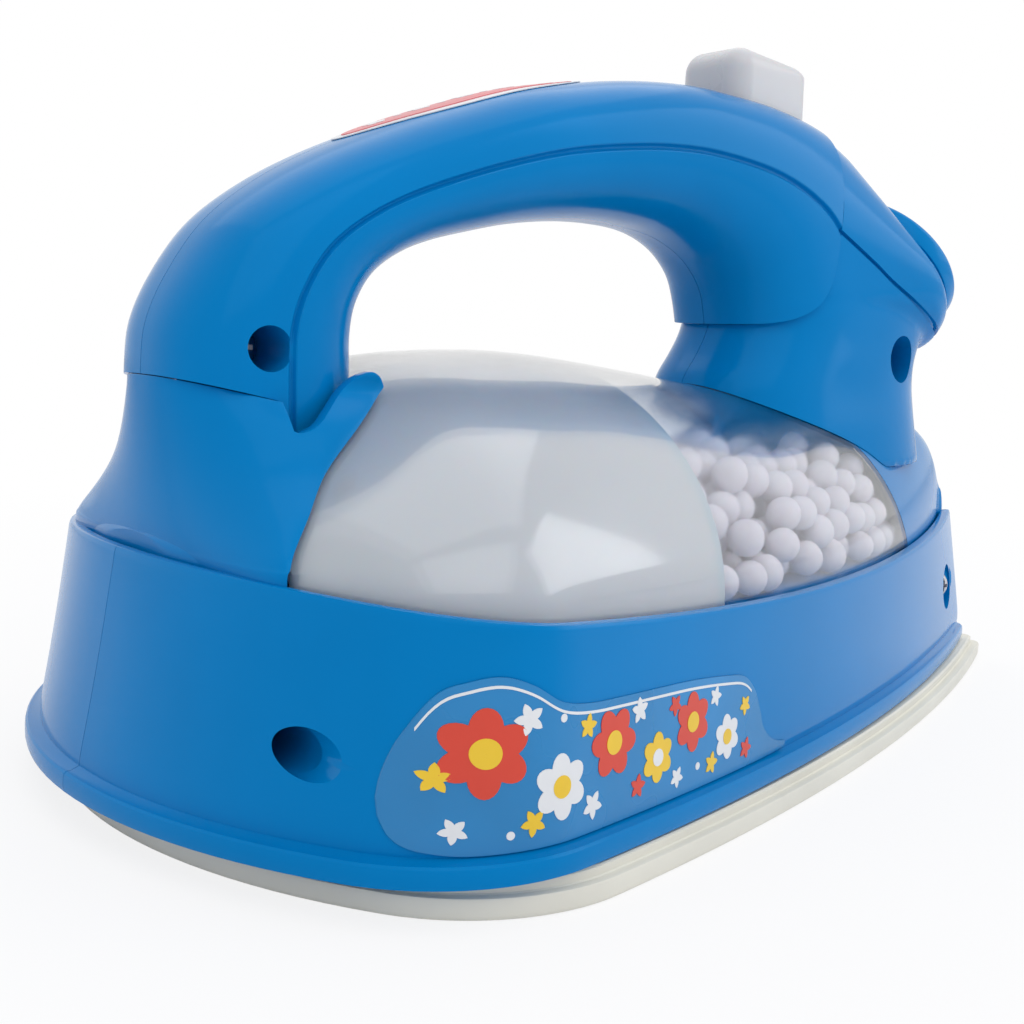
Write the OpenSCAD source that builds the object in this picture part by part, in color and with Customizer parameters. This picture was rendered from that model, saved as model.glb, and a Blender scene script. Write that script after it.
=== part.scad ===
// Toy clothes iron: hollow skirt on a sole plate, arched grip, clear bead window, turning dial.
// +X points to the nose, +Z up, the origin lies on the floor under the middle of the whole length.

/* [Overall] */
// Length of the skirt at the flange, heel to nose
base_l = 166.5; // [156:0.5:176]
// Width of the skirt at the flange
base_w = 96; // [90:0.5:102]
// Height of the flange's underside above the floor
flange_z = 3.8; // [3.4:0.1:4.6]
// Height of the grip's top above the floor
grip_top = 90; // [86:0.5:96]
// Height of the seam under the grip's rear end
seam_z = 50; // [49:0.5:52]

/* [Plan outline] */
// Radius of the rounded rear corners
corner_r = 22; // [18:0.5:26]
// Radius of the nose at the flange
nose_r = 2.5; // [2:0.1:4]
// Turn of the outline along the heel, in degrees
heel_turn = 34; // [30:1:38]
// Turn of the outline where the long side starts, in degrees
side_turn = 100; // [98:1:103]

/* [Skirt] */
// Wall of the blue shells
wall = 1.8; // [1.5:0.1:2.2]
// Thickness of the flange round the foot
flange_t = 2.4; // [2:0.1:3]
// How far the flange stands out
flange_w = 1.3; // [1:0.1:1.8]
// Height of the rim at its lowest point
rim_z = 24.6; // [23.5:0.1:25.5]
// Extra height of the rim at the heel
rim_heel_rise = 6; // [5:0.1:7]
// How far the heel leans in from flange to rim
heel_lean = 3.8; // [3:0.1:5]
// How far the sides lean in from flange to rim
side_lean = 0.9; // [0.5:0.1:1.5]
// How far the nose leans back from flange to rim
nose_lean = 4.5; // [3:0.1:5.5]

/* [Sole plate] */
// Thickness of the sole plate
plate_t = 3.5; // [3:0.1:3.8]
// How far the plate is set in at the heel
plate_heel_inset = 4; // [3:0.1:5]
// How far the plate's nose stands out in front
plate_nose_out = 6; // [4:0.1:8]
// Inset of the plate's upper step
plate_step = 1; // [0.6:0.1:1.6]

/* [Window] */
// Rise of the clear dome above the lowest rim point
dome_rise = 28.4; // [27.5:0.1:30]
// Wall of the clear dome
dome_wall = 1.2; // [1:0.1:1.6]
// Wall of the milky liner
liner_wall = 1.2; // [1:0.1:1.6]
// Distance of the liner's front wall from the heel
liner_l = 63; // [58:0.5:68]
// Diameter of a foam bead
bead_d = 5; // [4.6:0.1:5.4]

/* [Grip] */
// Distance from the heel to the back of the rear post
post_back = 8.6; // [7.5:0.1:10]
// Length of the rear post along the iron
post_l = 23; // [22:0.1:24]
// Width of the rear post
post_w = 26; // [25:0.1:27]
// Length of the grip's arch, rear post to head
grip_l = 110; // [106:0.5:114]
// How far the grip stands out over the head
sleeve_step = 0.6; // [0.4:0.1:1]
// Depth of the line moulded round the grip
groove_d = 0.7; // [0.5:0.1:1]
// Width of that line
groove_w = 0.7; // [0.5:0.1:1]
// Clear gap between shells that butt
seam_gap = 0.1; // [0.06:0.01:0.15]

/* [Hood] */
// Length of the hood at its top, back to lip
hood_l = 23; // [22.5:0.1:24]
// Height of the hood's foot above the floor
hood_z = 30.5; // [30:0.1:31]
// How far the hood's back flares out at its foot
hood_flare = 0.4; // [0.2:0.1:1]
// Thickness of the hood's lip over the dome
lip_t = 1.5; // [1.2:0.1:2]

/* [Front post] */
// Distance from the heel to the back of the front post
fpost_back = 97; // [96:0.5:98]
// Length of the front post at its top
fpost_l = 43.5; // [42:0.5:45]
// Width of the front post at its top
fpost_w = 26; // [25:0.5:27]
// Width of the front post's foot on the dome
foot_w = 31; // [29:0.5:33]
// Height of the front post's loft
fpost_top = 62; // [60:0.5:63]

/* [Dial] */
// Diameter of the dial
dial_d = 27; // [25:0.5:29]
// Thickness of the dial at its edge
dial_t = 3.4; // [3:0.1:4.5]
// Height of the dial's crown over its edge
dial_crown = 2.2; // [1.5:0.1:3]
// Diameter of the collar under the dial
collar_d = 28.5; // [28:0.5:30]
// Height of the collar
collar_t = 3.4; // [3:0.1:4.5]
// Lean of the dial from level, in degrees
dial_tilt = 45; // [42:1:48]
// Distance of the dial's middle from the heel
dial_x = 133.6; // [132:0.1:135]
// Height of the dial's underside at its middle
dial_z = 66.8; // [66:0.1:68]
// Diameter of the dial's shaft
shaft_d = 6; // [5:0.1:7]
// Length of the shaft in its bearing
shaft_l = 7; // [6:0.1:8]
// Clearance round the shaft
shaft_gap = 0.05; // [0.03:0.01:0.08]

/* [Slide button] */
// Length of the button
button_l = 16; // [15:0.5:18]
// Width of the button
button_w = 12.5; // [11:0.5:14]
// Height of the button above its pocket's floor
button_h = 10.2; // [9:0.1:11]
// Corner radius of the button
button_r = 3.2; // [2:0.1:4]
// Travel of the button towards the heel
button_travel = 6; // [4:0.5:7]
// Distance of the button's middle from the heel
button_x = 101.5; // [100:0.5:103]
// Depth of the pocket under the grip's top
pocket_d = 3.7; // [3:0.1:4.5]
// Clearance round the button in its pocket
button_gap = 0.3; // [0.2:0.05:0.5]

/* [Screw wells] */
// Diameter of the well on the grip's rear end
well_grip_d = 4.9; // [4.8:0.1:5.6]
// Diameter of the well on the front post
well_post_d = 7.2; // [6:0.1:7.6]
// Diameter of the well near the heel
well_heel_d = 5; // [4.9:0.1:5.6]
// Diameter of the well near the nose
well_nose_d = 7.6; // [6:0.1:8]
// Shank diameter of the shell screws
screw_d = 2.6; // [2.4:0.1:3]
// Head diameter of the shell screws
screw_head_d = 4.4; // [4:0.1:4.6]
// Length of the shell screws' shanks
screw_l = 10; // [8:0.5:12]

/* [Battery bay] */
// Diameter of a battery cell
cell_d = 14.3; // [13.9:0.1:14.5]
// Length of a battery cell
cell_l = 50; // [49:0.1:50.5]
// Wall of the battery bay
bay_wall = 1.4; // [1.2:0.1:2]
// Room at each end of the cells for the contacts
contact_l = 4; // [3:0.1:5]

/* [Labels] */
// Thickness of the labels
label_t = 0.25; // [0.2:0.01:0.35]
// Length of the oval label on the grip
oval_l = 37; // [30:0.5:40]
// Width of the oval label on the grip
oval_w = 11; // [9:0.5:13]
// Height of the side labels
side_label_h = 17.5; // [14:0.5:19]

/* [Electrics] */
// Diameter of the loudspeaker
speaker_d = 28; // [24:0.5:30]
// Diameter of the motor
motor_d = 12; // [10:0.5:14]
// Diameter of the fan under the beads
fan_d = 20; // [16:0.5:22]
// Diameter of the motor's shaft
motor_shaft_d = 1.5; // [1.2:0.1:2]
// Thickness of the circuit board
board_t = 1.6; // [1.2:0.1:2]

/* [Hidden] */

// Room that cuts run past a face
over = base_l;
// A thin overlap where one cut meets the next
nib = wall / 40;
iron_l = base_l + plate_nose_out;
heel_x = -iron_l / 2;
mid_w = base_w / 2;

blue = [0.0, 0.45, 0.75];
milk = [0.86, 0.87, 0.88];
cream = [0.85, 0.83, 0.74];
steel = [0.7, 0.7, 0.72];
dark = [0.15, 0.16, 0.17];
green = [0.1, 0.4, 0.2];

function clamp01(t) = min(max(t, 0), 1);
function smooth(t) = let (c = clamp01(t)) c * c * (3 - 2 * c);
function mix(a, b, t) = a + (b - a) * t;
// Smooth curve through the rows of a table
function along(rows, t) =
    let (
        last = len(rows) - 1,
        i = min(floor(max(t, 0)), last - 1),
        f = t - i,
        a = rows[max(i - 1, 0)],
        b = rows[i],
        c = rows[i + 1],
        d = rows[min(i + 2, last)]
    )
    0.5 * (2 * b + (c - a) * f + (2 * a - 5 * b + 4 * c - d) * f * f
        + (3 * b - a - 3 * c + d) * f * f * f);
// Value at x in a table of [x, value] rows
function lookup_row(rows, x, i = 0) =
    i >= len(rows) - 2 || x < rows[i + 1][0]
        ? let (t = clamp01((x - rows[i][0]) / (rows[i + 1][0] - rows[i][0]))) along(rows, i + t)[1]
        : lookup_row(rows, x, i + 1);

// Plan outline, half of it: heel arc, corner arc, long side arc and nose arc, each tangent to the next.
// Angles turn from 0 at the heel to 180 at the nose.
heel_r = corner_r + (mid_w - corner_r) / sin(heel_turn);
corner_cx = heel_x + heel_r - (heel_r - corner_r) * cos(heel_turn);
corner_cy = (heel_r - corner_r) * sin(heel_turn);
nose_cx = heel_x + base_l - nose_r;
nose_dx = nose_cx - corner_cx;
side_extra = corner_r - nose_r;
side_u = (nose_dx * nose_dx + corner_cy * corner_cy - side_extra * side_extra)
    / (2 * (side_extra + nose_dx * cos(side_turn) + corner_cy * sin(side_turn)));
side_r = side_u + corner_r;
side_cx = corner_cx + side_u * cos(side_turn);
side_cy = corner_cy - side_u * sin(side_turn);

heel_steps = 5;
corner_steps = 8;
side_steps = 7;
nose_steps = 4;
function arc_point(cx, cy, r, turn) = [cx - r * cos(turn), cy + r * sin(turn)];
// Nose arc of the outline set in by d: [centre x, radius, turn where it starts]
function nose_arc(d) =
    let (
        r = max(nose_r - d, nose_r / 8),
        reach = side_r - d - r,
        cx = side_cx + sqrt(reach * reach - side_cy * side_cy)
    )
    [cx, r, 180 - asin(-side_cy / reach)];
// Points of the left half, set in by d from the flange's edge
function half_outline(d) =
    let (n = nose_arc(d))
    concat(
        [for (i = [0:heel_steps - 1]) arc_point(heel_x + heel_r, 0, heel_r - d, heel_turn * i / heel_steps)],
        [for (i = [0:corner_steps - 1])
            arc_point(corner_cx, corner_cy, corner_r - d, mix(heel_turn, side_turn, i / corner_steps))],
        [for (i = [0:side_steps - 1])
            arc_point(side_cx, side_cy, side_r - d, mix(side_turn, n[2], i / side_steps))],
        [for (i = [0:nose_steps]) arc_point(n[0], 0, n[1], mix(n[2], 180, i / nose_steps))]
    );
function mirrored(points) = [for (p = points) [p[0], -p[1]]];
function full_outline(d) =
    let (half = half_outline(d), n = len(half))
    concat(mirrored(half), [for (i = [n - 2:-1:1]) half[i]]);

// Rim of the skirt: lowest under the front post, higher towards both ends
rim_low_x = heel_x + 0.595 * base_l;
rim_reach = 0.56 * base_l;
function rim_height(x) = let (t = (x - rim_low_x) / rim_reach) rim_z + rim_heel_rise * t * t;
// How far a point is heel-ward or nose-ward, each 0 to 1
function heel_share(p) = clamp01(1 - (p[0] - heel_x) / (corner_cx - heel_x));
function nose_share(p) = pow(clamp01((p[0] - rim_low_x) / (heel_x + base_l - rim_low_x)), 3);
// The outline at the share u of the skirt's height, set in by d
function skirt_ring(d, u) =
    [for (p = half_outline(d))
        let (
            heel = heel_share(p),
            x = p[0] + heel_lean * pow(u, 0.75) * sqrt(heel)
                + (0.9 * flange_w - nose_lean * u) * nose_share(p),
            z = mix(flange_z + flange_t, rim_height(x), u)
        )
        [x, p[1], z]];

// Closed solid between a stack of rings with as many points each
module skin(rings) {
    n = len(rings[0]);
    m = len(rings);
    sides = [for (j = [0:m - 2], i = [0:n - 1])
        let (a = j * n + i, b = j * n + (i + 1) % n, c = a + n, d = b + n)
        each [[a, b, d], [a, d, c]]];
    foot = [for (i = [n - 1:-1:0]) i];
    head = [for (i = [0:n - 1]) (m - 1) * n + i];
    polyhedron(points = [for (r = rings) each r], faces = concat(sides, [foot, head]), convexity = 8);
}
// Convex solid between two rings
module span(a, b) {
    n = len(a) + len(b);
    hull() polyhedron(points = concat(a, b), faces = [for (i = [0:n - 3]) [i, i + 1, i + 2]]);
}
// Solid along a row of convex rings
module chain(rings) {
    for (i = [0:len(rings) - 2]) span(rings[i], rings[i + 1]);
}
// Everything on one side of the middle plane: side -1 is the right hand, 1 the left
module half_space(side) {
    translate([-over, side < 0 ? -2 * over : seam_gap / 2, -over])
        cube([2 * over, 2 * over - (side < 0 ? seam_gap / 2 : 0), 2 * over]);
}
// Plate drawn in the X and Z plane, reaching w to both sides
module side_cut(points, w) {
    translate([0, w, 0]) rotate([90, 0, 0]) linear_extrude(2 * w) polygon(points);
}

// Dome: a row of upright sections, each a half ellipse over the rim
dome_inset = flange_w + side_lean + wall + seam_gap;
floor_t = wall;
floor_z = rim_z - floor_t - 0.02 * rim_z;
// Rows of [share of the base length, share of the dome's rise]
crest_shares = [
    [0.036, 0.215], [0.078, 0.386], [0.12, 0.597], [0.159, 0.765], [0.186, 0.881], [0.222, 0.952],
    [0.27, 0.986], [0.342, 0.993], [0.45, 0.93], [0.57, 0.845], [0.72, 0.79], [0.82, 0.73],
    [0.885, 0.63], [0.925, 0.47], [0.945, 0.27], [0.956, 0.1]
];
function crest_height(x) = rim_z + dome_rise * lookup_row(crest_shares, (x - heel_x) / base_l);
dome_steps = 10;
// One section of the dome grown by g, at the outline point p
function dome_section(p, turn, g) =
    let (
        x = p[0] - g * (turn < 90 ? cos(turn) : -0.9 * pow(nose_share(p), 2)),
        w = max(p[1] + g * 0.95, wall / 4),
        z0 = p[2],
        h = max(crest_height(p[0]) - z0, wall / 4) + g
    )
    concat(
        [[x, -w, floor_z + floor_t]],
        [for (i = [0:dome_steps]) let (a = 180 * i / dome_steps) [x, -w * cos(a), z0 + h * sin(a)]],
        [[x, w, floor_z + floor_t]]
    );
module dome_solid(g) {
    ring = skirt_ring(dome_inset, 1);
    last = len(ring) - nose_steps;
    chain([for (i = [1:last - 1])
        dome_section(ring[i], 90 * clamp01(i / (heel_steps + corner_steps * 0.7)), g)]);
}
// Slanted plane between the clear dome and the nose cap: x at the height z
split_low_x = heel_x + 0.769 * base_l;
split_top_x = heel_x + 0.62 * base_l;
split_top_z = rim_z + dome_rise;
module behind_split(gap) {
    slope = (split_top_x - split_low_x) / (split_top_z - rim_z);
    x_floor = split_low_x - slope * rim_z;
    x_roof = split_low_x + slope * (2 * split_top_z - rim_z);
    side_cut([
        [heel_x - over, 0], [x_floor - gap, 0], [x_roof - gap, 2 * split_top_z],
        [heel_x - over, 2 * split_top_z]
    ], over);
}

// Grip: sections between the outer line of the arch and the inner one.
// Rows of [outer x, outer z, inner x, inner z], x as shares of the arch's length and z of its rise.
arch_shares = [
    [0, -0.175, 0.223, -0.175], [0, 0, 0.223, 0], [0.005, 0.125, 0.223, 0.112], [0.027, 0.258, 0.23, 0.2],
    [0.064, 0.4, 0.25, 0.28], [0.114, 0.513, 0.286, 0.345], [0.177, 0.615, 0.332, 0.393],
    [0.255, 0.713, 0.391, 0.435], [0.332, 0.795, 0.445, 0.468], [0.418, 0.875, 0.505, 0.493],
    [0.505, 0.93, 0.564, 0.508], [0.595, 0.975, 0.623, 0.51], [0.686, 1, 0.677, 0.498],
    [0.768, 1, 0.723, 0.465], [0.85, 0.985, 0.762, 0.408], [0.932, 0.945, 0.792, 0.32],
    [1.005, 0.875, 0.805, 0.213], [1.077, 0.725, 0.814, 0.05]
];
post_x = heel_x + post_back;
grip_rise = grip_top - seam_z;
arch_last = len(arch_shares) - 1;
function arch_outer(i) = [post_x + arch_shares[i][0] * grip_l, seam_z + arch_shares[i][1] * grip_rise];
function arch_inner(i) =
    [post_x + (arch_shares[i][2] - 0.223) * grip_l + post_l, seam_z + arch_shares[i][3] * grip_rise];
arch_points = 24;
// Keeps the sections of the grown and shrunk arches out of one plane
arch_shift_share = 0.02;
function power(v, e) = sign(v) * pow(abs(v), e);
// Section number i of the arch, grown by g
function arch_section(i, g) =
    let (
        o = arch_outer(i),
        n = arch_inner(i),
        c = (o + n) / 2,
        h = (o - n) / 2,
        k = 1 + g / norm(h),
        u = i / arch_last,
        w = post_w / 2 * (1 - 0.1 * sin(180 * u)) + g,
        e = 2 / 2.5
    )
    [for (j = [0:arch_points - 1])
        let (a = 360 * j / arch_points, p = c + h * k * power(cos(a), e) + [g, g] * arch_shift_share)
        [p[0], w * power(sin(a), e), p[1]]];
module arch(g) {
    chain([for (i = [0:arch_last]) arch_section(i, g)]);
}
// Middle line of the arch and its run across the head, which the moulded line follows
head_line_shares = [[0.72, 0.34], [0.79, 0.27], [0.86, 0.1]];
function arch_middle(i) = (arch_outer(i) + arch_inner(i)) / 2;
middle_line = concat(
    [for (i = [0:arch_last - 1]) arch_middle(i)],
    [for (s = head_line_shares) [heel_x + s[0] * base_l, seam_z + s[1] * grip_rise]]
);
// Moulded line: a channel along the middle line, groove_d deep in a body that the children are the core of
module groove_band() {
    top = [for (p = middle_line) p + [0, groove_w / 2]];
    low = [for (i = [len(middle_line) - 1:-1:0]) middle_line[i] - [0, groove_w / 2]];
    rear = [for (i = [0:4]) arch_middle(i)];
    side_cut(concat(top, low), over);
    side_cut(concat(
        [for (p = rear) p + [groove_w / 2, 0]], [for (i = [len(rear) - 1:-1:0]) rear[i] - [groove_w / 2, 0]]
    ), over);
}
// Zone of the grip's sleeve, whose end is the U-shaped step on the head
sleeve_end_shares = [
    [0.575, 0.19], [0.598, 0.2], [0.617, 0.225], [0.635, 0.275], [0.645, 0.35], [0.65, 0.45], [0.652, 0.6],
    [0.662, 0.73], [0.685, 0.83], [0.715, 0.93], [0.73, 1.1]
];
module sleeve_zone(gap) {
    edge = [for (s = sleeve_end_shares) [heel_x + s[0] * base_l - gap, seam_z + s[1] * grip_rise + gap]];
    low = seam_z + sleeve_end_shares[0][1] * grip_rise + gap;
    mid = heel_x + 0.4 * base_l;
    side_cut(concat(
        [[heel_x - over, 0], [mid, 0], [mid, low]], edge,
        [[edge[len(edge) - 1][0], 2 * grip_top], [heel_x - over, 2 * grip_top]]
    ), over);
}
// Region above the seam at the rear post: the inner band reaches lower than the rear part
band_drop = 0.17 * grip_rise;
seam_dip = 0.083 * grip_rise;
seam_slope = 0.235;
function seam_height(x) = seam_z - seam_dip + seam_slope * (arch_middle(1)[0] - x);
module above_seam(gap) {
    step_x = arch_middle(1)[0];
    side_cut([
        [heel_x - over, seam_height(heel_x - over) + gap], [step_x, seam_height(step_x) + gap],
        [step_x, seam_z - band_drop + gap],
        [heel_x + base_l, seam_z - band_drop + gap], [heel_x + base_l, 2 * grip_top],
        [heel_x - over, 2 * grip_top]
    ], over);
}

// Upper edge of the hood in front of the seam's step, rising to a rounded tongue: rows of
// [share of the hood's length, share of the band's drop]
tongue_shares = [
    [0.503, -1], [0.552, -0.94], [0.62, -0.78], [0.706, -0.54], [0.776, -0.275], [0.824, -0.03], [0.846, 0.06],
    [0.889, 0.09], [0.933, 0.03], [0.967, -0.12], [0.985, -0.29], [1.5, -0.4]
];
module above_hood() {
    step_x = arch_middle(1)[0];
    side_cut(concat(
        [[heel_x - over, 2 * grip_top + over], [heel_x - over, seam_height(heel_x - over)],
            [step_x, seam_height(step_x)]],
        [for (s = tongue_shares) [post_x + s[0] * hood_l, seam_z + s[1] * band_drop]],
        [[post_x + 1.5 * hood_l, 2 * grip_top + over]]
    ), over);
}

// Rear hood: rows of [share of the hood's height, share of its flare, share of its length, squareness]
hood_shares = [
    [-0.2, 1, 0.15, 1.7], [0, 1, 0.152, 1.7], [0.05, 0.9, 0.17, 1.72], [0.13, 0.75, 0.213, 1.76],
    [0.28, 0.45, 0.326, 1.86], [0.49, 0.2, 0.5, 2], [0.74, 0.05, 0.757, 2.2], [0.9, 0, 0.93, 2.45],
    [1, 0, 1, 2.5]
];
hood_h = seam_z - hood_z;
hood_points = 12;
function rim_half_width(x) =
    x > corner_cx
        ? side_cy + sqrt(pow(side_r - dome_inset, 2) - pow(x - side_cx, 2))
        : corner_cy + sqrt(max(pow(corner_r - dome_inset, 2) - pow(x - corner_cx, 2), 0));
function hood_half_width(x, z) =
    let (
        inset = dome_inset + heel_lean * 0.7,
        r = heel_r - inset,
        dx = heel_x + heel_r - x,
        plan = dx < r ? min(sqrt(r * r - dx * dx), rim_half_width(max(x, corner_cx - corner_r * 0.5))) : 0,
        z0 = rim_height(x),
        h = crest_height(x) - z0,
        t = clamp01((z - z0) / h)
    )
    plan * sqrt(1 - t * t);
// Section of the hood: solid half plan from the back to the lip, set in by d
function hood_ring(row, d) =
    let (
        z = hood_z + row[0] * hood_h,
        xb = post_x - hood_flare * row[1] + d,
        xl = post_x + hood_l * row[2],
        yl = max(hood_half_width(xl, max(z, rim_height(xl))) + lip_t, post_w / 2 + lip_t * 0.5) - d
    )
    concat(
        [for (i = [0:hood_points])
            let (a = 90 * i / hood_points, e = 2 / row[3])
            [xb + (xl - xb) * (1 - power(cos(a), e)), yl * power(sin(a), e), z]],
        [for (i = [hood_points:-1:1])
            let (a = 90 * i / hood_points, e = 2 / row[3])
            [xb + (xl - xb) * (1 - power(cos(a), e)), -yl * power(sin(a), e), z]]
    );
module hood_solid(d, low = 0) {
    chain([for (i = [low:len(hood_shares) - 1]) hood_ring(hood_shares[i], d)]);
}

// Front post: rows of [share of its height, shift of the back, shift of the front, share of the flare]
fpost_low = 0.6 * fpost_top;
fpost_shares = [
    [0, -0.15, 0.02, 1], [0.2, -0.14, 0, 0.75], [0.4, -0.13, -0.015, 0.45], [0.52, -0.11, -0.02, 0.3],
    [0.64, -0.06, -0.015, 0.2], [0.76, -0.02, 0.01, 0.1], [0.88, 0, 0.035, 0.04], [1, 0, 0.04, 0]
];
fpost_x = heel_x + fpost_back;
fpost_points = 28;
function fpost_ring(row, g) =
    let (
        z = mix(fpost_low, fpost_top, row[0]),
        x0 = fpost_x + row[1] * fpost_l - g,
        x1 = fpost_x + fpost_l * (1 + row[2]) - fpost_l * 0.04 + g,
        w = mix(fpost_w, foot_w, row[3]) / 2 + g,
        e = 2 / 2.6
    )
    [for (j = [0:fpost_points - 1])
        let (a = 360 * j / fpost_points)
        [(x0 + x1) / 2 + (x1 - x0) / 2 * power(cos(a), e), w * power(sin(a), e), z]];
module fpost_solid(g) {
    chain([for (row = fpost_shares) fpost_ring(row, g)]);
}
// The dial's own frame: origin at its underside's middle, +Z along its shaft
module at_dial() {
    translate([heel_x + dial_x, 0, dial_z]) rotate([0, dial_tilt, 0]) children();
}
collar_round = collar_t / 3;
module head_solid(g) {
    hull() {
        polyhedron(points = arch_section(14, g - sleeve_step), faces = [[for (j = [0:arch_points - 1]) j]]);
        polyhedron(points = arch_section(16, g - sleeve_step), faces = [[for (j = [0:arch_points - 1]) j]]);
        polyhedron(points = fpost_ring(fpost_shares[7], g), faces = [[for (j = [0:fpost_points - 1]) j]]);
        at_dial() {
            translate([0, 0, -collar_t])
                cylinder(d = collar_d + 2 * g, h = collar_t - collar_round + min(g, 0), $fn = 40);
            translate([0, 0, -collar_t])
                cylinder(d = collar_d - collar_round + 2 * g, h = collar_t + g, $fn = 40);
        }
    }
}

// Screws: [x, z] of each well and how far the screw's head lies from the middle plane
grip_well = [post_x + 0.39 * post_l, seam_z + 0.062 * grip_rise];
post_well = [fpost_x + 0.683 * fpost_l, seam_z + 0.09 * grip_rise];
heel_well = [heel_x + 0.068 * base_l, 0.6 * rim_z];
nose_well = [heel_x + 0.915 * base_l, 0.61 * rim_z];
boss_wall = screw_d * 0.6;
head_y = screw_head_d;
module across(place, side) {
    translate([place[0], 0, place[1]]) rotate([side < 0 ? 90 : -90, 0, 0]) children();
}
// Tube that carries a screw: a well with a floor on the right hand, a pilot tube on the left
module boss(place, d, side, reach) {
    across(place, side) translate([0, 0, seam_gap / 2])
        cylinder(d = side < 0 ? d + 2 * boss_wall : screw_head_d + boss_wall, h = reach, $fn = 24);
}
module boss_cut(place, d, side) {
    across(place, side) {
        if (side < 0) {
            translate([0, 0, -nib]) cylinder(d = screw_d + 2 * seam_gap, h = over, $fn = 24);
            translate([0, 0, head_y]) cylinder(d = d, h = over, $fn = 32);
        }
        else
            translate([0, 0, -nib]) cylinder(d = screw_d, h = screw_l, $fn = 24);
    }
}
module screws(places) {
    for (place = places)
        across(place, -1) {
            translate([0, 0, head_y - screw_l]) cylinder(d = screw_d - seam_gap, h = screw_l + 3 * nib, $fn = 24);
            difference() {
                translate([0, 0, head_y + nib])
                    cylinder(d1 = screw_head_d, d2 = screw_head_d * 0.8, h = screw_d * 0.7, $fn = 24);
                for (turn = [0, 90])
                    rotate([0, 0, turn])
                        translate([-screw_head_d * 0.3, -screw_d * 0.1, head_y + screw_d * 0.35])
                        cube([screw_head_d * 0.6, screw_d * 0.2, screw_d]);
            }
        }
}

// Skirt: rows of [share of the height over the flange, inset share]
skirt_levels = [0, 0.04, 0.12, 0.25, 0.4, 0.6, 0.8, 0.97, 1];
rib_count = 9;
function flange_ring(d, z) = [for (p = half_outline(d)) [p[0], p[1], z]];
function skirt_outer_rings(g) =
    concat(
        [flange_ring(flange_t * 0.2 - g, flange_z)],
        [flange_ring(-g, flange_z + flange_t * 0.2)],
        [flange_ring(-g, flange_z + flange_t * 0.85)],
        [flange_ring(flange_w * 0.5 - g, flange_z + flange_t)],
        [for (u = skirt_levels)
            skirt_ring(
                flange_w * (1 + 0.25 * exp(-20 * u)) + side_lean * u + (u == 1 ? wall * 0.3 : 0) - g,
                u * 0.985 + 0.015)]
    );
// Band between an outer and an inner line, on one side of the middle plane
function band_ring(outer, inner, side) =
    let (n = len(outer), s = seam_gap / 2)
    concat(
        [for (i = [0:n - 1]) [outer[i][0], side * max(outer[i][1], s), outer[i][2]]],
        [for (i = [n - 1:-1:0]) [inner[i][0], side * max(inner[i][1], s), outer[i][2]]]
    );
function lifted(points, g) = [for (p = points) [p[0], p[1], p[2] + g]];
function turned(rings, side) = side < 0 ? [for (r = rings) [for (i = [len(r) - 1:-1:0]) r[i]]] : rings;
// The skirt's wall on one side, grown by g
module skirt_wall(side, g = 0) {
    outer = skirt_outer_rings(g);
    inner = concat(
        [for (i = [0:3]) flange_ring(flange_w + wall + g, 0)],
        [for (u = skirt_levels) skirt_ring(flange_w + wall + side_lean * u + g, u)]
    );
    last = len(outer) - 1;
    skin(turned([for (j = [0:last]) band_ring(lifted(outer[j], j == last ? g : 0), inner[j], side)], side));
}
// Solid from an outline to the middle plane
module half_fill(rings, side) {
    s = side * seam_gap / 2;
    skin(turned([for (r = rings)
        concat([for (p = r) [p[0], side * max(p[1], seam_gap / 2), p[2]]],
            [for (i = [len(r) - 2:-1:1]) [r[i][0], s, r[i][2]]])], side));
}
module skirt(side) {
    color(blue) difference() {
        union() {
            skirt_wall(side);
            intersection() {
                union() {
                    boss(heel_well, well_heel_d, side, mid_w);
                    boss(nose_well, well_nose_d, side, mid_w);
                    for (i = [0:rib_count - 1]) floor_rib(side, i);
                }
                skirt_inside(side);
            }
        }
        boss_cut(heel_well, well_heel_d, side);
        boss_cut(nose_well, well_nose_d, side);
    }
}
// Small gusset under the chamber floor, rounded at its foot
rib_t = wall * 0.7;
module floor_rib(side, i) {
    ring = skirt_ring(flange_w + wall * 0.5 + side_lean, 0.6);
    p = ring[heel_steps + i + 2];
    q = ring[heel_steps + i + 3];
    c = (p + q) / 2;
    a = atan2(q[1] - p[1], q[0] - p[0]);
    translate([c[0], side * c[1], 0]) rotate([0, 0, side * a]) hull() {
        translate([-rib_t / 2, -wall * (side < 0 ? 0 : 2), floor_z - seam_gap - wall])
            cube([rib_t, wall * 2, wall]);
        translate([-rib_t / 2, -wall * (side < 0 ? 0 : 0.5), floor_z - 4 * wall])
            cube([rib_t, wall * 0.5, wall]);
    }
}
module skirt_inside(side) {
    half_fill(concat(
        [flange_ring(flange_w + wall * 0.5, flange_z)],
        [for (u = skirt_levels) skirt_ring(flange_w + wall * 0.5 + side_lean * u, u * 0.98)]
    ), side);
}

module rear_hood() {
    cavity_top = seam_z - band_drop - wall;
    color(blue) difference() {
        union() {
            hood_solid(0);
            // Shoulder behind the hood, down to the skirt's rim
            intersection() {
                dome_solid(0);
                between(0, dome_back);
            }
        }
        intersection() {
            hood_solid(wall);
            translate([-over, -over, 0]) cube([2 * over, 2 * over, cavity_top]);
        }
        dome_solid(-wall);
        intersection() {
            dome_solid(seam_gap);
            between(dome_back - nib, base_l);
        }
        above_hood();
        intersection() {
            arch(seam_gap);
            translate([arch_middle(1)[0] - seam_gap, -over, seam_z - band_drop - seam_gap]) cube(2 * over);
        }
        skirt_wall(-1, seam_gap);
        skirt_wall(1, seam_gap);
        // Way through to the grip for the wires
        translate([post_x + post_l / 2, 0, cavity_top - wall]) cylinder(d = post_l * 0.35, h = over);
    }
}

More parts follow.
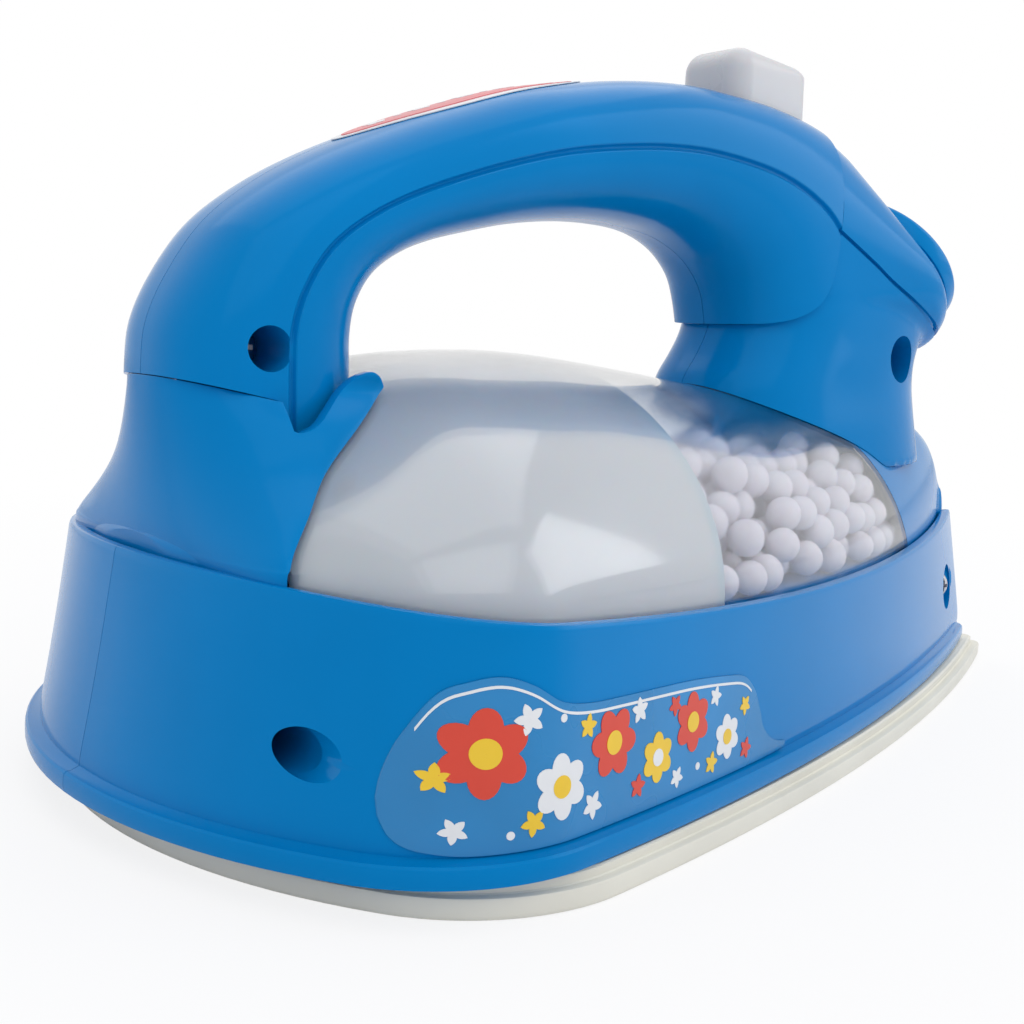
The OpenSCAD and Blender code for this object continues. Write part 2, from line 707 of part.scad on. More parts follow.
// Pocket for the slide button in the top of the grip
pocket_z = grip_top - pocket_d;
pocket_x = heel_x + button_x - button_l / 2 - button_travel - button_gap;
pocket_l = button_l + button_travel + 2 * button_gap;
pocket_w = button_w + 2 * button_gap;
stem_l = button_l / 4;
stem_w = button_w / 5;
module pocket_box(extra, z) {
    translate([pocket_x - extra, -pocket_w / 2 - extra, z])
        cube([pocket_l + 2 * extra, pocket_w + 2 * extra, over]);
}
module stem_slot(gap) {
    translate([heel_x + button_x - stem_l / 2 - button_travel - gap, -stem_w / 2 - gap, pocket_z - over])
        cube([stem_l + button_travel + 2 * gap, stem_w + 2 * gap, 2 * over]);
}
module grip(side) {
    color(blue) intersection() {
        difference() {
            union() {
                difference() {
                    arch(0);
                    difference() {
                        groove_band();
                        arch(-groove_d);
                    }
                    arch(-wall);
                }
                intersection() {
                    arch(-wall / 2);
                    union() {
                        boss(grip_well, well_grip_d, side, mid_w);
                        pocket_box(wall, pocket_z - wall);
                    }
                }
            }
            boss_cut(grip_well, well_grip_d, side);
            pocket_box(0, pocket_z);
            stem_slot(button_gap);
            dome_solid(seam_gap);
        }
        sleeve_zone(seam_gap);
        above_seam(seam_gap);
        half_space(side);
    }
}

bearing_wall = shaft_d / 4;
bearing_d = shaft_d + 2 * shaft_gap + 2 * bearing_wall;
module front_post(side) {
    color(blue) intersection() {
        difference() {
            union() {
                difference() {
                    union() {
                        fpost_solid(0);
                        head_solid(0);
                    }
                    difference() {
                        groove_band();
                        fpost_solid(-groove_d);
                        head_solid(-groove_d);
                    }
                    fpost_solid(-wall);
                    head_solid(-wall);
                }
                intersection() {
                    union() {
                        fpost_solid(-wall / 2);
                        head_solid(-wall / 2);
                    }
                    boss(post_well, well_post_d, side, mid_w);
                }
                // Seat under the dial, which lies in a shallow recess of the head
                intersection() {
                    head_solid(-wall / 2);
                    at_dial() translate([0, 0, -wall]) cylinder(d = dial_d + 4 * wall, h = wall, $fn = 64);
                }
            }
            boss_cut(post_well, well_post_d, side);
            at_dial() cylinder(d = dial_d + 2 * dial_gap, h = grip_rise, $fn = 64);
            sleeve_zone(0);
            dome_solid(seam_gap);
            at_dial() cylinder(d = bearing_d + 2 * seam_gap, h = 3 * wall, center = true);
        }
        half_space(side);
    }
}

module nose_cap() {
    color(blue) difference() {
        dome_solid(0);
        dome_solid(-wall);
        behind_split(-seam_gap);
    }
}
// Slab of the dome between two distances from the heel
module between(a, b) {
    translate([heel_x + a, -over, -over]) cube([b - a, 2 * over, 2 * over]);
}
dome_back = post_back + hood_shares[1][2] * hood_l;
module window_dome() {
    color([0.9, 0.95, 1, 0.35]) intersection() {
        difference() {
            dome_solid(0);
            dome_solid(-dome_wall);
        }
        behind_split(seam_gap);
        between(dome_back + seam_gap, base_l);
    }
}
liner_in = dome_wall + seam_gap;
module milky_liner() {
    color(milk) intersection() {
        difference() {
            dome_solid(-liner_in);
            intersection() {
                dome_solid(-liner_in - liner_wall);
                between(0, liner_l - liner_wall);
            }
        }
        between(dome_back + liner_wall, liner_l);
    }
}

// Row of posts under the chamber floor: [x, y] from the heel and the middle
sole_posts = [
    for (side = [-1, 1])
        each [[heel_x + 0.125 * base_l, side * 0.58 * mid_w], [heel_x + 0.823 * base_l, side * 0.125 * mid_w]]
];
sole_post_d = 2.2 * screw_d;
fan_x = heel_x + 0.727 * base_l;
fan_t = 0.15 * fan_d;
board_l = 0.15 * base_l;
board_w = 0.38 * base_w;
board_x = heel_x + 0.575 * base_l;
board_z = plate_t + 0.4 * (floor_z - plate_t);
lamp_d = 0.22 * motor_d + fan_d * 0.12;
lamp_x = board_x + board_l / 3;
board_posts = [for (u = [-1, 1], v = [-1, 1]) [board_x + u * 0.42 * board_l, v * 0.42 * board_w]];
board_post_d = board_t * 2;
slot_w = bead_d * 0.4;
module chamber_floor() {
    outline = [for (p = skirt_ring(flange_w + wall + side_lean + seam_gap, 0.97)) [p[0], p[1]]];
    n = len(outline);
    color(blue) difference() {
        union() {
            translate([0, 0, floor_z]) linear_extrude(floor_t)
                polygon(concat(mirrored(outline), [for (i = [n - 2:-1:1]) outline[i]]));
            for (p = sole_posts)
                translate([p[0], p[1], plate_t + seam_gap])
                    cylinder(d = sole_post_d, h = floor_z - plate_t - seam_gap + floor_t / 2);
            for (p = board_posts)
                translate([p[0], p[1], board_z + board_t])
                    cylinder(d = board_post_d, h = floor_z - board_z - board_t + floor_t / 2);
        }
        for (p = sole_posts) translate([p[0], p[1], plate_t]) cylinder(d = screw_d, h = screw_l);
        for (i = [-2:2])
            translate([fan_x - fan_d * 0.35, i * 2 * slot_w - slot_w / 2, floor_z - over / 2])
                cube([fan_d * 0.7, slot_w, over]);
        translate([lamp_x, 0, 0]) cylinder(d = lamp_d + 4 * seam_gap, h = over);
    }
}

// Foam beads on a staggered grid; those deep inside the heap are left out
bead_pitch = bead_d + 2 * seam_gap;
function dome_allows(x, y, z, m) =
    let (
        w = rim_half_width(x) - m,
        h = crest_height(x) - rim_height(x) - m,
        dz = max(z - rim_height(x), 0)
    )
    w > 0 && h > 0 && y * y / (w * w) + dz * dz / (h * h) < 1;
bead_margin = dome_wall + bead_d / 2 + 4 * seam_gap;
bead_layers = 4;
function bead_ok(x, y, z) =
    dome_allows(x, y, z, bead_margin)
    && x > heel_x + liner_l + bead_d / 2 + seam_gap
    && x < split_low_x - (z - rim_z) * (split_low_x - split_top_x) / dome_rise - bead_d * 0.95
    && norm([x - lamp_x, y]) > (bead_d + lamp_d) / 2
    && (z > floor_z + floor_t + (bead_layers - 1) * 0.8 * bead_pitch
        || !dome_allows(x, y, z, bead_margin + 1.5 * bead_pitch));
bead_rows = [
    for (k = [0:bead_layers - 1], i = [0:14], j = [-8:8])
        let (
            x = heel_x + liner_l + bead_d * 0.6 + (i + (k % 2) * 0.5) * bead_pitch * 0.87,
            y = (j + (i % 2) * 0.5 + (k % 2) * 0.25) * bead_pitch,
            z = floor_z + floor_t + bead_d / 2 + seam_gap / 2 + k * bead_pitch * 0.87
        )
        if (bead_ok(x, y, z)) [x, y, z]
];
module foam_beads() {
    color("white") for (p = bead_rows) translate(p) sphere(d = bead_d, $fn = 24);
}

dial_gap = 3 * seam_gap;
module dial() {
    r = dial_d / 2;
    e = dial_t / 3;
    crown_r = (r * r + dial_crown * dial_crown) / (2 * dial_crown);
    color(blue) at_dial() difference() {
        union() {
            rotate_extrude($fn = 64) {
                translate([0, dial_gap]) square([r, dial_t - e]);
                translate([0, dial_gap]) square([r - e, dial_t]);
                translate([r - e, dial_gap + dial_t - e]) circle(r = e, $fn = 32);
                intersection() {
                    translate([0, dial_gap + dial_t + dial_crown - crown_r]) circle(r = crown_r, $fn = 96);
                    translate([0, dial_gap + dial_t / 2]) square([r - e, dial_t + dial_crown]);
                }
            }
            translate([0, 0, -shaft_l]) cylinder(d = shaft_d, h = shaft_l + dial_t, $fn = 48);
        }
        translate([0, 0, -shaft_l - nib]) cylinder(d = screw_d, h = shaft_l);
        // Finger dimple near the edge
        translate([r * 0.55, 0, dial_gap + dial_t + dial_crown + r * 0.35]) sphere(r = r * 0.45, $fn = 48);
    }
}
module dial_bearing() {
    color(milk) at_dial() difference() {
        union() {
            translate([0, 0, -shaft_l + seam_gap * 2])
                cylinder(d = bearing_d, h = shaft_l - seam_gap * 2, $fn = 48);
            translate([0, 0, -2 * wall - seam_gap])
                cylinder(d = bearing_d + 2 * bearing_wall, h = wall, $fn = 48);
        }
        translate([0, 0, -shaft_l - wall])
            cylinder(d = shaft_d + 2 * shaft_gap, h = shaft_l + 2 * wall, $fn = 48);
    }
}
module dial_screw() {
    color(steel) at_dial() {
        translate([0, 0, -shaft_l]) cylinder(d = screw_d - seam_gap, h = shaft_l * 0.9, $fn = 32);
        translate([0, 0, -shaft_l - wall * 0.8])
            cylinder(d = shaft_d + 2 * bearing_wall, h = wall * 0.8, $fn = 48);
    }
}

module slide_button() {
    z = pocket_z + button_gap;
    r = button_r;
    color("white") translate([heel_x + button_x, 0, z]) {
        hull() for (u = [-1, 1], v = [-1, 1])
            translate([u * (button_l / 2 - r), v * (button_w / 2 - r), 0]) {
            cylinder(r = r, h = r, $fn = 32);
            translate([0, 0, button_h - r]) sphere(r = r, $fn = 32);
        }
        translate([-stem_l / 2, -stem_w / 2, -wall - button_gap - switch_h * 0.6])
            cube([stem_l, stem_w, wall + button_gap + switch_h * 0.6 + r]);
    }
}
switch_h = 0.45 * button_h;
module slide_switch() {
    l = pocket_l * 0.8;
    w = button_w * 0.6;
    color(dark) difference() {
        translate([
            heel_x + button_x - button_travel / 2 - l / 2, -w / 2, pocket_z - wall - seam_gap - switch_h
        ])
            cube([l, w, switch_h]);
        intersection() {
            stem_slot(button_gap);
            translate([-over, -over, pocket_z - wall - seam_gap - switch_h * 0.8])
                cube([2 * over, 2 * over, over]);
        }
    }
}

label_lift = 0.6 * seam_gap;
oval_x = post_x + 0.382 * grip_l;
module oval_label() {
    color([0.85, 0.4, 0.45]) intersection() {
        difference() {
            arch(label_lift + label_t);
            arch(label_lift);
        }
        translate([oval_x, 0, grip_top - 0.42 * grip_rise]) scale([oval_l / oval_w, 1, 1])
            cylinder(d = oval_w, h = over, $fn = 48);
    }
}
// Side label: rows of [share of the base length, low edge and high edge as shares of the label's height]
side_label_shares = [
    [0.0885, 0.2, 0.3], [0.092, 0.1, 0.45], [0.1, 0.04, 0.64], [0.115, 0.01, 0.86], [0.13, 0, 0.93],
    [0.147, 0, 0.955], [0.165, 0, 0.9], [0.185, 0, 0.79], [0.21, 0, 0.745], [0.24, 0, 0.73],
    [0.28, 0, 0.715], [0.32, 0, 0.695], [0.36, 0, 0.655], [0.385, 0, 0.61], [0.4, 0, 0.5],
    [0.408, 0, 0.36], [0.415, 0, 0.21], [0.43, 0.005, 0.1], [0.45, 0.01, 0.05]
];
label_columns = 3;
label_levels = 4;
function segment_at(ring, x, i = 0) = i >= len(ring) - 2 || x < ring[i + 1][0] ? i : segment_at(ring, x, i + 1);
function on_ring(ring, x) =
    let (i = segment_at(ring, x), a = ring[i], b = ring[i + 1])
    a + (b - a) * clamp01((x - a[0]) / (b[0] - a[0]));
// Point on the skirt's side at the distance x and the height z, g outside it
function skirt_point(x, z, g) =
    let (u = clamp01((z - flange_z - flange_t) / (rim_height(x) - flange_z - flange_t)))
    on_ring(skirt_ring(flange_w * (1 + 0.25 * exp(-20 * u)) + side_lean * u - g, u), x);
function label_column(row, g) =
    [for (k = [0:label_levels])
        skirt_point(
            heel_x + row[0] * base_l,
            flange_z + 1.2 * flange_t + side_label_h * mix(row[1], row[2], k / label_levels), g)];
module side_label(side) {
    n = label_columns * (len(side_label_shares) - 1);
    rings = [for (i = [0:n])
        let (row = along(side_label_shares, i / label_columns))
        [for (p = concat(label_column(row, label_lift + label_t),
            [for (q = [label_levels:-1:0]) label_column(row, label_lift)[q]])) [p[0], -p[1], p[2]]]];
    color([0.2, 0.55, 0.8]) mirror([0, side < 0 ? 0 : 1, 0]) skin(rings);
}

// Sole plate and the bay for two cells behind a screwed door
cell_y = cell_d / 2 + bay_wall / 4;
bay_l = cell_l + 2 * contact_l;
bay_w = 2 * (cell_y + cell_d / 2 + bay_wall / 4);
bay_x = heel_x + 0.31 * base_l;
bay_z = plate_t + seam_gap;
bay_h = cell_d + bay_wall / 2;
door_gap = 2 * seam_gap;
door_t = 0.5 * plate_t;
door_tab = 2 * screw_head_d;
door_x0 = bay_x - bay_l / 2 - bay_wall - door_tab / 2;
door_x1 = bay_x + bay_l / 2;
ear_l = 0.7 * door_tab;
module plate_outline(inset) {
    // The plate's half outline is the flange's, stretched from its own heel to its own nose
    stretch = (base_l + plate_nose_out - plate_heel_inset - inset) / base_l;
    half = half_outline(inset);
    pts = [for (p = half) [heel_x + plate_heel_inset + (p[0] - heel_x) * stretch, p[1]]];
    polygon(concat(mirrored(pts), [for (i = [len(pts) - 2:-1:1]) pts[i]]));
}
module sole_plate() {
    color(cream) difference() {
        union() {
            translate([0, 0, plate_t * 0.12]) linear_extrude(plate_t * 0.53) plate_outline(seam_gap);
            linear_extrude(plate_t * 0.12) plate_outline(plate_t * 0.12);
            linear_extrude(plate_t) plate_outline(plate_step + seam_gap);
            translate([fan_x, 0, plate_t - nib]) difference() {
                cylinder(d = motor_d + 2 * bay_wall + 2 * seam_gap, h = plate_t + nib);
                cylinder(d = motor_d + 2 * seam_gap, h = over);
            }
        }
        translate([door_x0 - door_gap, -bay_w / 2 - door_gap, -over / 2])
            cube([door_x1 - door_x0 + 2 * door_gap, bay_w + 2 * door_gap, over]);
        for (p = sole_posts) translate([p[0], p[1], 0]) {
            translate([0, 0, -nib]) cylinder(d = screw_d + 2 * seam_gap, h = over);
            translate([0, 0, -nib]) cylinder(d = screw_head_d + 4 * seam_gap, h = 0.6 * plate_t);
        }
        for (ring = [1, 2], i = [0:6 * ring - 1])
            rotate_about([speaker_x, 0], 360 * i / (6 * ring))
                translate([speaker_x + ring * speaker_d * 0.17, 0, -over / 2])
                    cylinder(d = speaker_d * 0.07, h = over);
    }
}
module rotate_about(p, turn) {
    translate([p[0], p[1], 0]) rotate([0, 0, turn]) translate([-p[0], -p[1], 0]) children();
}
module battery_door() {
    color(cream) difference() {
        union() {
            translate([door_x0, -bay_w / 2, plate_t * 0.12]) cube([door_x1 - door_x0, bay_w, door_t]);
            // Rib that presses the cells up, and the tongue that hooks behind the plate
            translate([bay_x - bay_l / 4, -bay_wall / 2, plate_t * 0.12])
                cube([bay_l / 2, bay_wall, plate_t - plate_t * 0.12]);
        }
        translate([door_x0 + door_tab / 2, 0, -nib]) {
            cylinder(d = screw_d + 2 * seam_gap, h = over);
            cylinder(d = screw_head_d + 4 * seam_gap, h = 0.3 * plate_t);
        }
    }
}
module battery_bay() {
    color(dark) difference() {
        union() {
            translate([bay_x - bay_l / 2 - bay_wall, -bay_w / 2 - bay_wall, bay_z])
                cube([bay_l + 2 * bay_wall, bay_w + 2 * bay_wall, bay_h + bay_wall]);
            translate([door_x0 + door_tab / 2, 0, plate_t * 0.12 + door_t + seam_gap])
                cylinder(d = ear_l, h = 2 * screw_l / 3);
            translate([door_x0 + door_tab / 2, -ear_l / 2, bay_z]) cube([door_tab, ear_l, screw_l / 2]);
        }
        translate([bay_x - bay_l / 2, -bay_w / 2, bay_z - nib]) cube([bay_l, bay_w, bay_h + nib]);
        translate([door_x0 + door_tab / 2, 0, 0]) cylinder(d = screw_d, h = screw_l);
    }
}
module battery(side) {
    z = bay_z + cell_d / 2 + bay_wall / 4;
    nub = 0.02 * cell_l;
    color([0.2, 0.3, 0.5]) translate([bay_x, side * cell_y, z]) rotate([0, -side * 90, 0]) {
        translate([0, 0, -cell_l / 2]) cylinder(d = cell_d, h = cell_l - nub);
        translate([0, 0, cell_l / 2 - 2 * nub]) cylinder(d = cell_d * 0.38, h = 2 * nub);
    }
}
contact_t = bay_wall / 3;
module battery_contacts() {
    z = bay_z + cell_d / 2 + bay_wall / 4;
    color(steel) for (end = [-1, 1], side = [-1, 1])
        translate([bay_x + end * bay_l / 2, side * cell_y, z]) rotate([0, -end * 90, 0]) {
            translate([-cell_d * 0.4, -cell_d * 0.4, seam_gap / 2])
                cube([cell_d * 0.8, cell_d * 0.8, contact_t]);
            translate([0, 0, contact_t])
                cylinder(d1 = cell_d * 0.5, d2 = cell_d * 0.3, h = contact_l - contact_t - seam_gap);
        }
}
module door_screw() {
    color(steel) upright_screw(door_x0 + door_tab / 2, 0, 0.3 * plate_t);
}
module upright_screw(x, y, z) {
    translate([x, y, z]) {
        translate([0, 0, -3 * nib]) cylinder(d = screw_d - seam_gap, h = screw_l * 0.7 + 3 * nib);
        difference() {
            translate([0, 0, -screw_d * 0.3])
                cylinder(d1 = screw_head_d * 0.8, d2 = screw_head_d, h = screw_d * 0.3 - nib);
            for (turn = [0, 90])
                rotate([0, 0, turn]) translate([-screw_head_d * 0.3, -screw_d * 0.1, -screw_d * 0.4])
                    cube([screw_head_d * 0.6, screw_d * 0.2, screw_d * 0.25]);
        }
    }
}
module sole_screws() {
    color(steel) for (p = sole_posts) upright_screw(p[0], p[1], 0.6 * plate_t);
}

speaker_x = heel_x + 0.59 * base_l;
module loudspeaker() {
    z = plate_t + seam_gap;
    color(dark) translate([speaker_x, 0, z]) {
        cylinder(d = speaker_d, h = 0.08 * speaker_d);
        translate([0, 0, 0.08 * speaker_d - nib])
            cylinder(d1 = speaker_d * 0.9, d2 = speaker_d * 0.55, h = 0.06 * speaker_d);
        translate([0, 0, 0.14 * speaker_d - 2 * nib]) cylinder(d = speaker_d * 0.5, h = 0.06 * speaker_d);
    }
}
module circuit_board() {
    color(green) difference() {
        translate([board_x - board_l / 2, -board_w / 2, board_z])
            cube([board_l, board_w, board_t - seam_gap]);
        translate([lamp_x, 0, 0])
            for (v = [-1, 1]) translate([0, v * lamp_d / 4, 0]) cylinder(d = lamp_d / 6, h = over);
    }
}
module sound_chips() {
    color(dark) {
        translate([board_x - board_l / 4, -board_w / 6, board_z + board_t - seam_gap])
            cylinder(d1 = board_l * 0.3, d2 = board_l * 0.2, h = board_t);
        translate([board_x - board_l / 4, board_w / 5, board_z + board_t - seam_gap])
            cylinder(d = board_l * 0.18, h = 3 * board_t);
    }
}
module lamp() {
    z = floor_z + floor_t - lamp_d * 0.9;
    color("white") translate([lamp_x, 0, 0]) {
        translate([0, 0, z]) cylinder(d = lamp_d, h = lamp_d * 0.9, $fn = 32);
        translate([0, 0, z + lamp_d * 0.9]) sphere(d = lamp_d, $fn = 32);
        for (v = [-1, 1])
            translate([0, v * lamp_d / 4, board_z])
                cylinder(d = lamp_d / 6 - seam_gap, h = z - board_z + nib, $fn = 24);
    }
}
motor_z = plate_t + seam_gap / 2;
fan_z = floor_z - fan_t - 8 * seam_gap;
motor_h = fan_z - motor_z - 8 * seam_gap;
module motor() {
    color(steel) translate([fan_x, 0, motor_z]) difference() {
        cylinder(d = motor_d, h = motor_h);
        translate([0, 0, motor_h * 0.3]) cylinder(d = motor_shaft_d + 2 * shaft_gap, h = motor_h);
    }
}
module fan() {
    blades = 5;
    hub = motor_shaft_d * 3;
    color("white") translate([fan_x, 0, 0]) {
        translate([0, 0, motor_z + motor_h * 0.3 + seam_gap])
            cylinder(d = motor_shaft_d, h = fan_z + fan_t - motor_z - motor_h * 0.3 - seam_gap);
        translate([0, 0, fan_z]) cylinder(d = hub, h = fan_t);
        for (i = [0:blades - 1])
            rotate([0, 0, 360 * i / blades]) translate([hub * 0.4, -fan_t * 0.15, fan_z])
                cube([fan_d / 2 - hub * 0.4, fan_t * 0.3, fan_t]);
    }
}
module grip_screws() { color(steel) screws([grip_well, post_well]); }
module skirt_screws() { color(steel) screws([heel_well, nose_well]); }

sole_plate();
skirt(-1);  // skirt_right
skirt(1);  // skirt_left
rear_hood();
grip(-1);  // grip_right
grip(1);  // grip_left
front_post(-1);  // front_post_right
front_post(1);  // front_post_left
nose_cap();
window_dome();
milky_liner();
chamber_floor();
foam_beads();
dial();
dial_bearing();
dial_screw();
slide_button();
slide_switch();
oval_label();
side_label(-1);  // side_label_right
side_label(1);  // side_label_left
battery_bay();
battery_door();
battery(-1);  // battery_right
battery(1);  // battery_left
battery_contacts();
door_screw();
circuit_board();
sound_chips();
lamp();
loudspeaker();
motor();
fan();
grip_screws();
skirt_screws();
sole_screws();
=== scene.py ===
import math
import random

import bmesh
import bpy
import numpy as np
from mathutils import Matrix, Vector
from mathutils.bvhtree import BVHTree


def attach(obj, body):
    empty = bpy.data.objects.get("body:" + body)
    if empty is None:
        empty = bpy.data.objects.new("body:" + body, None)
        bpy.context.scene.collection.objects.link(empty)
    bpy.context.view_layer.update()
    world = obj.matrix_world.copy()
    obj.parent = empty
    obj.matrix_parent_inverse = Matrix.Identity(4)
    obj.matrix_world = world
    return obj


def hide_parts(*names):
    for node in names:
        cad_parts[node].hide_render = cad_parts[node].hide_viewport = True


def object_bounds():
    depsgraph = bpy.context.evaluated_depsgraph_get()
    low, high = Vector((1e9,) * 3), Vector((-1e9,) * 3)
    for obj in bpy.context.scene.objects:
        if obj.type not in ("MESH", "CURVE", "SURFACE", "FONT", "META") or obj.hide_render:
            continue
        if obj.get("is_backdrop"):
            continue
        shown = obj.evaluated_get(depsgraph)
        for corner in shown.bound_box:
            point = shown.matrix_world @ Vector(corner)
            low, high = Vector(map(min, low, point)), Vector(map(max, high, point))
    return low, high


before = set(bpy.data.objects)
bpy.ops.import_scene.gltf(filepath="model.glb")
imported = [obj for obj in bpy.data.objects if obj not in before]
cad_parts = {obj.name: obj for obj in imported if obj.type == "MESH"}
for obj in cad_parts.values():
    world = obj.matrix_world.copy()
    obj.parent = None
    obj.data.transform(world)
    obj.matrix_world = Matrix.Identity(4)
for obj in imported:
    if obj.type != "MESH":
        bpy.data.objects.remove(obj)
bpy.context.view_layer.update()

MM = 0.001
scene = bpy.context.scene
scene.view_settings.view_transform = "Standard"

# Sizes in millimetres, as in the part
base_l = 166.5
base_w = 96.0
flange_z = 3.8
grip_top = 90.0
seam_z = 50.0
corner_r = 22.0
nose_r = 2.5
heel_turn = 34.0
side_turn = 100.0
wall = 1.8
flange_t = 2.4
flange_w = 1.3
rim_z = 24.6
rim_heel_rise = 6.0
heel_lean = 3.8
side_lean = 0.9
nose_lean = 4.5
plate_t = 3.5
plate_heel_inset = 4.0
plate_nose_out = 6.0
plate_step = 1.0
dome_rise = 28.4
dome_wall = 1.2
liner_wall = 1.2
liner_l = 63.0
bead_d = 5.0
post_back = 8.6
post_l = 23.0
post_w = 26.0
grip_l = 110.0
sleeve_step = 0.6
groove_d = 0.7
groove_w = 0.7
gap = 0.1
hood_l = 23.0
hood_z = 30.5
hood_flare = 0.4
lip_t = 1.5
fpost_back = 97.0
fpost_l = 43.5
fpost_w = 26.0
foot_w = 31.0
fpost_top = 62.0
dial_d = 27.0
dial_t = 3.4
dial_crown = 2.2
collar_d = 28.5
collar_t = 3.4
dial_tilt = 45.0
dial_x = 133.6
dial_z = 66.8
button_l = 16.0
button_w = 12.5
button_h = 10.2
button_r = 3.2
button_travel = 6.0
button_x = 101.5
pocket_d = 3.7
button_gap = 0.3
head_y = 4.4
heel_well_r = 2.5
nose_well_r = 3.8
grip_well_r = 2.45
post_well_r = 3.6
dial_gap = 0.3
dial_shaft_r = 3.0
overrun = 60.0

heel_x = -(base_l + plate_nose_out) / 2
mid_w = base_w / 2
sides = ((-1, "right"), (1, "left"))


def sind(a):
    return math.sin(math.radians(a))


def cosd(a):
    return math.cos(math.radians(a))


def mix(a, b, t):
    return a + (b - a) * t


def clamp01(t):
    return min(max(t, 0.0), 1.0)


def circle(r, n):
    return [(r * cosd(360 * i / n), r * sind(360 * i / n)) for i in range(n)]


def along(rows, t):
    """Point t of a smooth curve through the rows, where a row's own t is its number."""
    rows = np.asarray(rows, float)
    last = len(rows) - 1
    i = min(int(math.floor(max(t, 0))), last - 1)
    f = t - i
    a, b, c, d = rows[max(i - 1, 0)], rows[i], rows[i + 1], rows[min(i + 2, last)]
    square, cube = 2 * a - 5 * b + 4 * c - d, 3 * b - a - 3 * c + d
    return 0.5 * (2 * b + (c - a) * f + square * f * f + cube * f ** 3)


def curve(rows, n):
    """The curve through the rows, in n steps from each to the next."""
    return [along(rows, i / n) for i in range(n * (len(rows) - 1) + 1)]


def lookup(rows, x):
    """Second value of the rows where their first value is x."""
    i = 0
    while i < len(rows) - 2 and x >= rows[i + 1][0]:
        i += 1
    t = clamp01((x - rows[i][0]) / (rows[i + 1][0] - rows[i][0]))
    return along(rows, i + t)[1]


# Plan outline
heel_r = corner_r + (mid_w - corner_r) / sind(heel_turn)
corner_cx = heel_x + heel_r - (heel_r - corner_r) * cosd(heel_turn)
corner_cy = (heel_r - corner_r) * sind(heel_turn)
nose_dx = heel_x + base_l - nose_r - corner_cx
side_extra = corner_r - nose_r
side_u = (nose_dx ** 2 + corner_cy ** 2 - side_extra ** 2) / (
    2 * (side_extra + nose_dx * cosd(side_turn) + corner_cy * sind(side_turn)))
side_r = side_u + corner_r
side_cx = corner_cx + side_u * cosd(side_turn)
side_cy = corner_cy - side_u * sind(side_turn)


def arc_point(cx, cy, r, turn):
    return (cx - r * cosd(turn), cy + r * sind(turn))


def half_outline(d):
    r = max(nose_r - d, nose_r / 8)
    reach = side_r - d - r
    nx = side_cx + math.sqrt(reach ** 2 - side_cy ** 2)
    nt = 180 - math.degrees(math.asin(-side_cy / reach))
    pts = []
    for cx, cy, arc_r, start, end, n in (
            (heel_x + heel_r, 0, heel_r - d, 0, heel_turn, 14),
            (corner_cx, corner_cy, corner_r - d, heel_turn, side_turn, 26),
            (side_cx, side_cy, side_r - d, side_turn, nt, 70), (nx, 0, r, nt, 180, 12)):
        pts += [arc_point(cx, cy, arc_r, mix(start, end, i / n)) for i in range(n)]
    return pts + [arc_point(nx, 0, r, 180)]


rim_low_x = heel_x + 0.595 * base_l
rim_reach = 0.56 * base_l


def rim_height(x):
    return rim_z + rim_heel_rise * ((x - rim_low_x) / rim_reach) ** 2


def nose_share(x):
    return clamp01((x - rim_low_x) / (heel_x + base_l - rim_low_x)) ** 3


def skirt_ring(d, u):
    out = []
    for x0, y0 in half_outline(d):
        heel = clamp01(1 - (x0 - heel_x) / (corner_cx - heel_x))
        x = x0 + heel_lean * u ** 0.75 * math.sqrt(heel) + (0.9 * flange_w - nose_lean * u) * nose_share(x0)
        out.append((x, y0, mix(flange_z + flange_t, rim_height(x), u)))
    return out


# Meshes
def linked(name, data):
    ob = bpy.data.objects.new(name, data)
    scene.collection.objects.link(ob)
    return ob


def new_mesh(name, verts, faces):
    me = bpy.data.meshes.new(name)
    me.from_pydata([(v[0] * MM, v[1] * MM, v[2] * MM) for v in verts], [], faces)
    return me


def new_object(name, verts, faces, smooth=True):
    me = new_mesh(name, verts, faces)
    me.validate()
    me.update()
    ob = linked(name, me)
    bm = bmesh.new()
    bm.from_mesh(me)
    bmesh.ops.remove_doubles(bm, verts=bm.verts, dist=1e-7)
    bmesh.ops.dissolve_degenerate(bm, dist=1e-8, edges=bm.edges)
    bmesh.ops.recalc_face_normals(bm, faces=bm.faces)
    bm.to_mesh(me)
    bm.free()
    if smooth:
        shade(ob)
    return ob


def shade(ob, angle=32):
    me = ob.data
    me.polygons.foreach_set("use_smooth", [True] * len(me.polygons))
    bm = bmesh.new()
    bm.from_mesh(me)
    limit = math.radians(angle)
    for e in bm.edges:
        e.smooth = not (len(e.link_faces) != 2 or e.calc_face_angle(0) > limit)
    bm.to_mesh(me)
    bm.free()


def grid(rows, closed=False, ends=False, base=0):
    """Faces of a grid of points: rows of equal length, each row closed in itself if asked."""
    n = len(rows[0])
    faces = []
    for j in range(len(rows) - 1):
        for i in range(n if closed else n - 1):
            a = base + j * n + i
            b = base + j * n + (i + 1) % n
            faces.append((a, b, b + n, a + n))
    if ends:
        faces.append(tuple(base + i for i in range(n - 1, -1, -1)))
        faces.append(tuple(base + (len(rows) - 1) * n + i for i in range(n)))
    return faces


def loft(name, rows, closed=True, ends=True):
    return new_object(name, [p for r in rows for p in r], grid(rows, closed, ends))


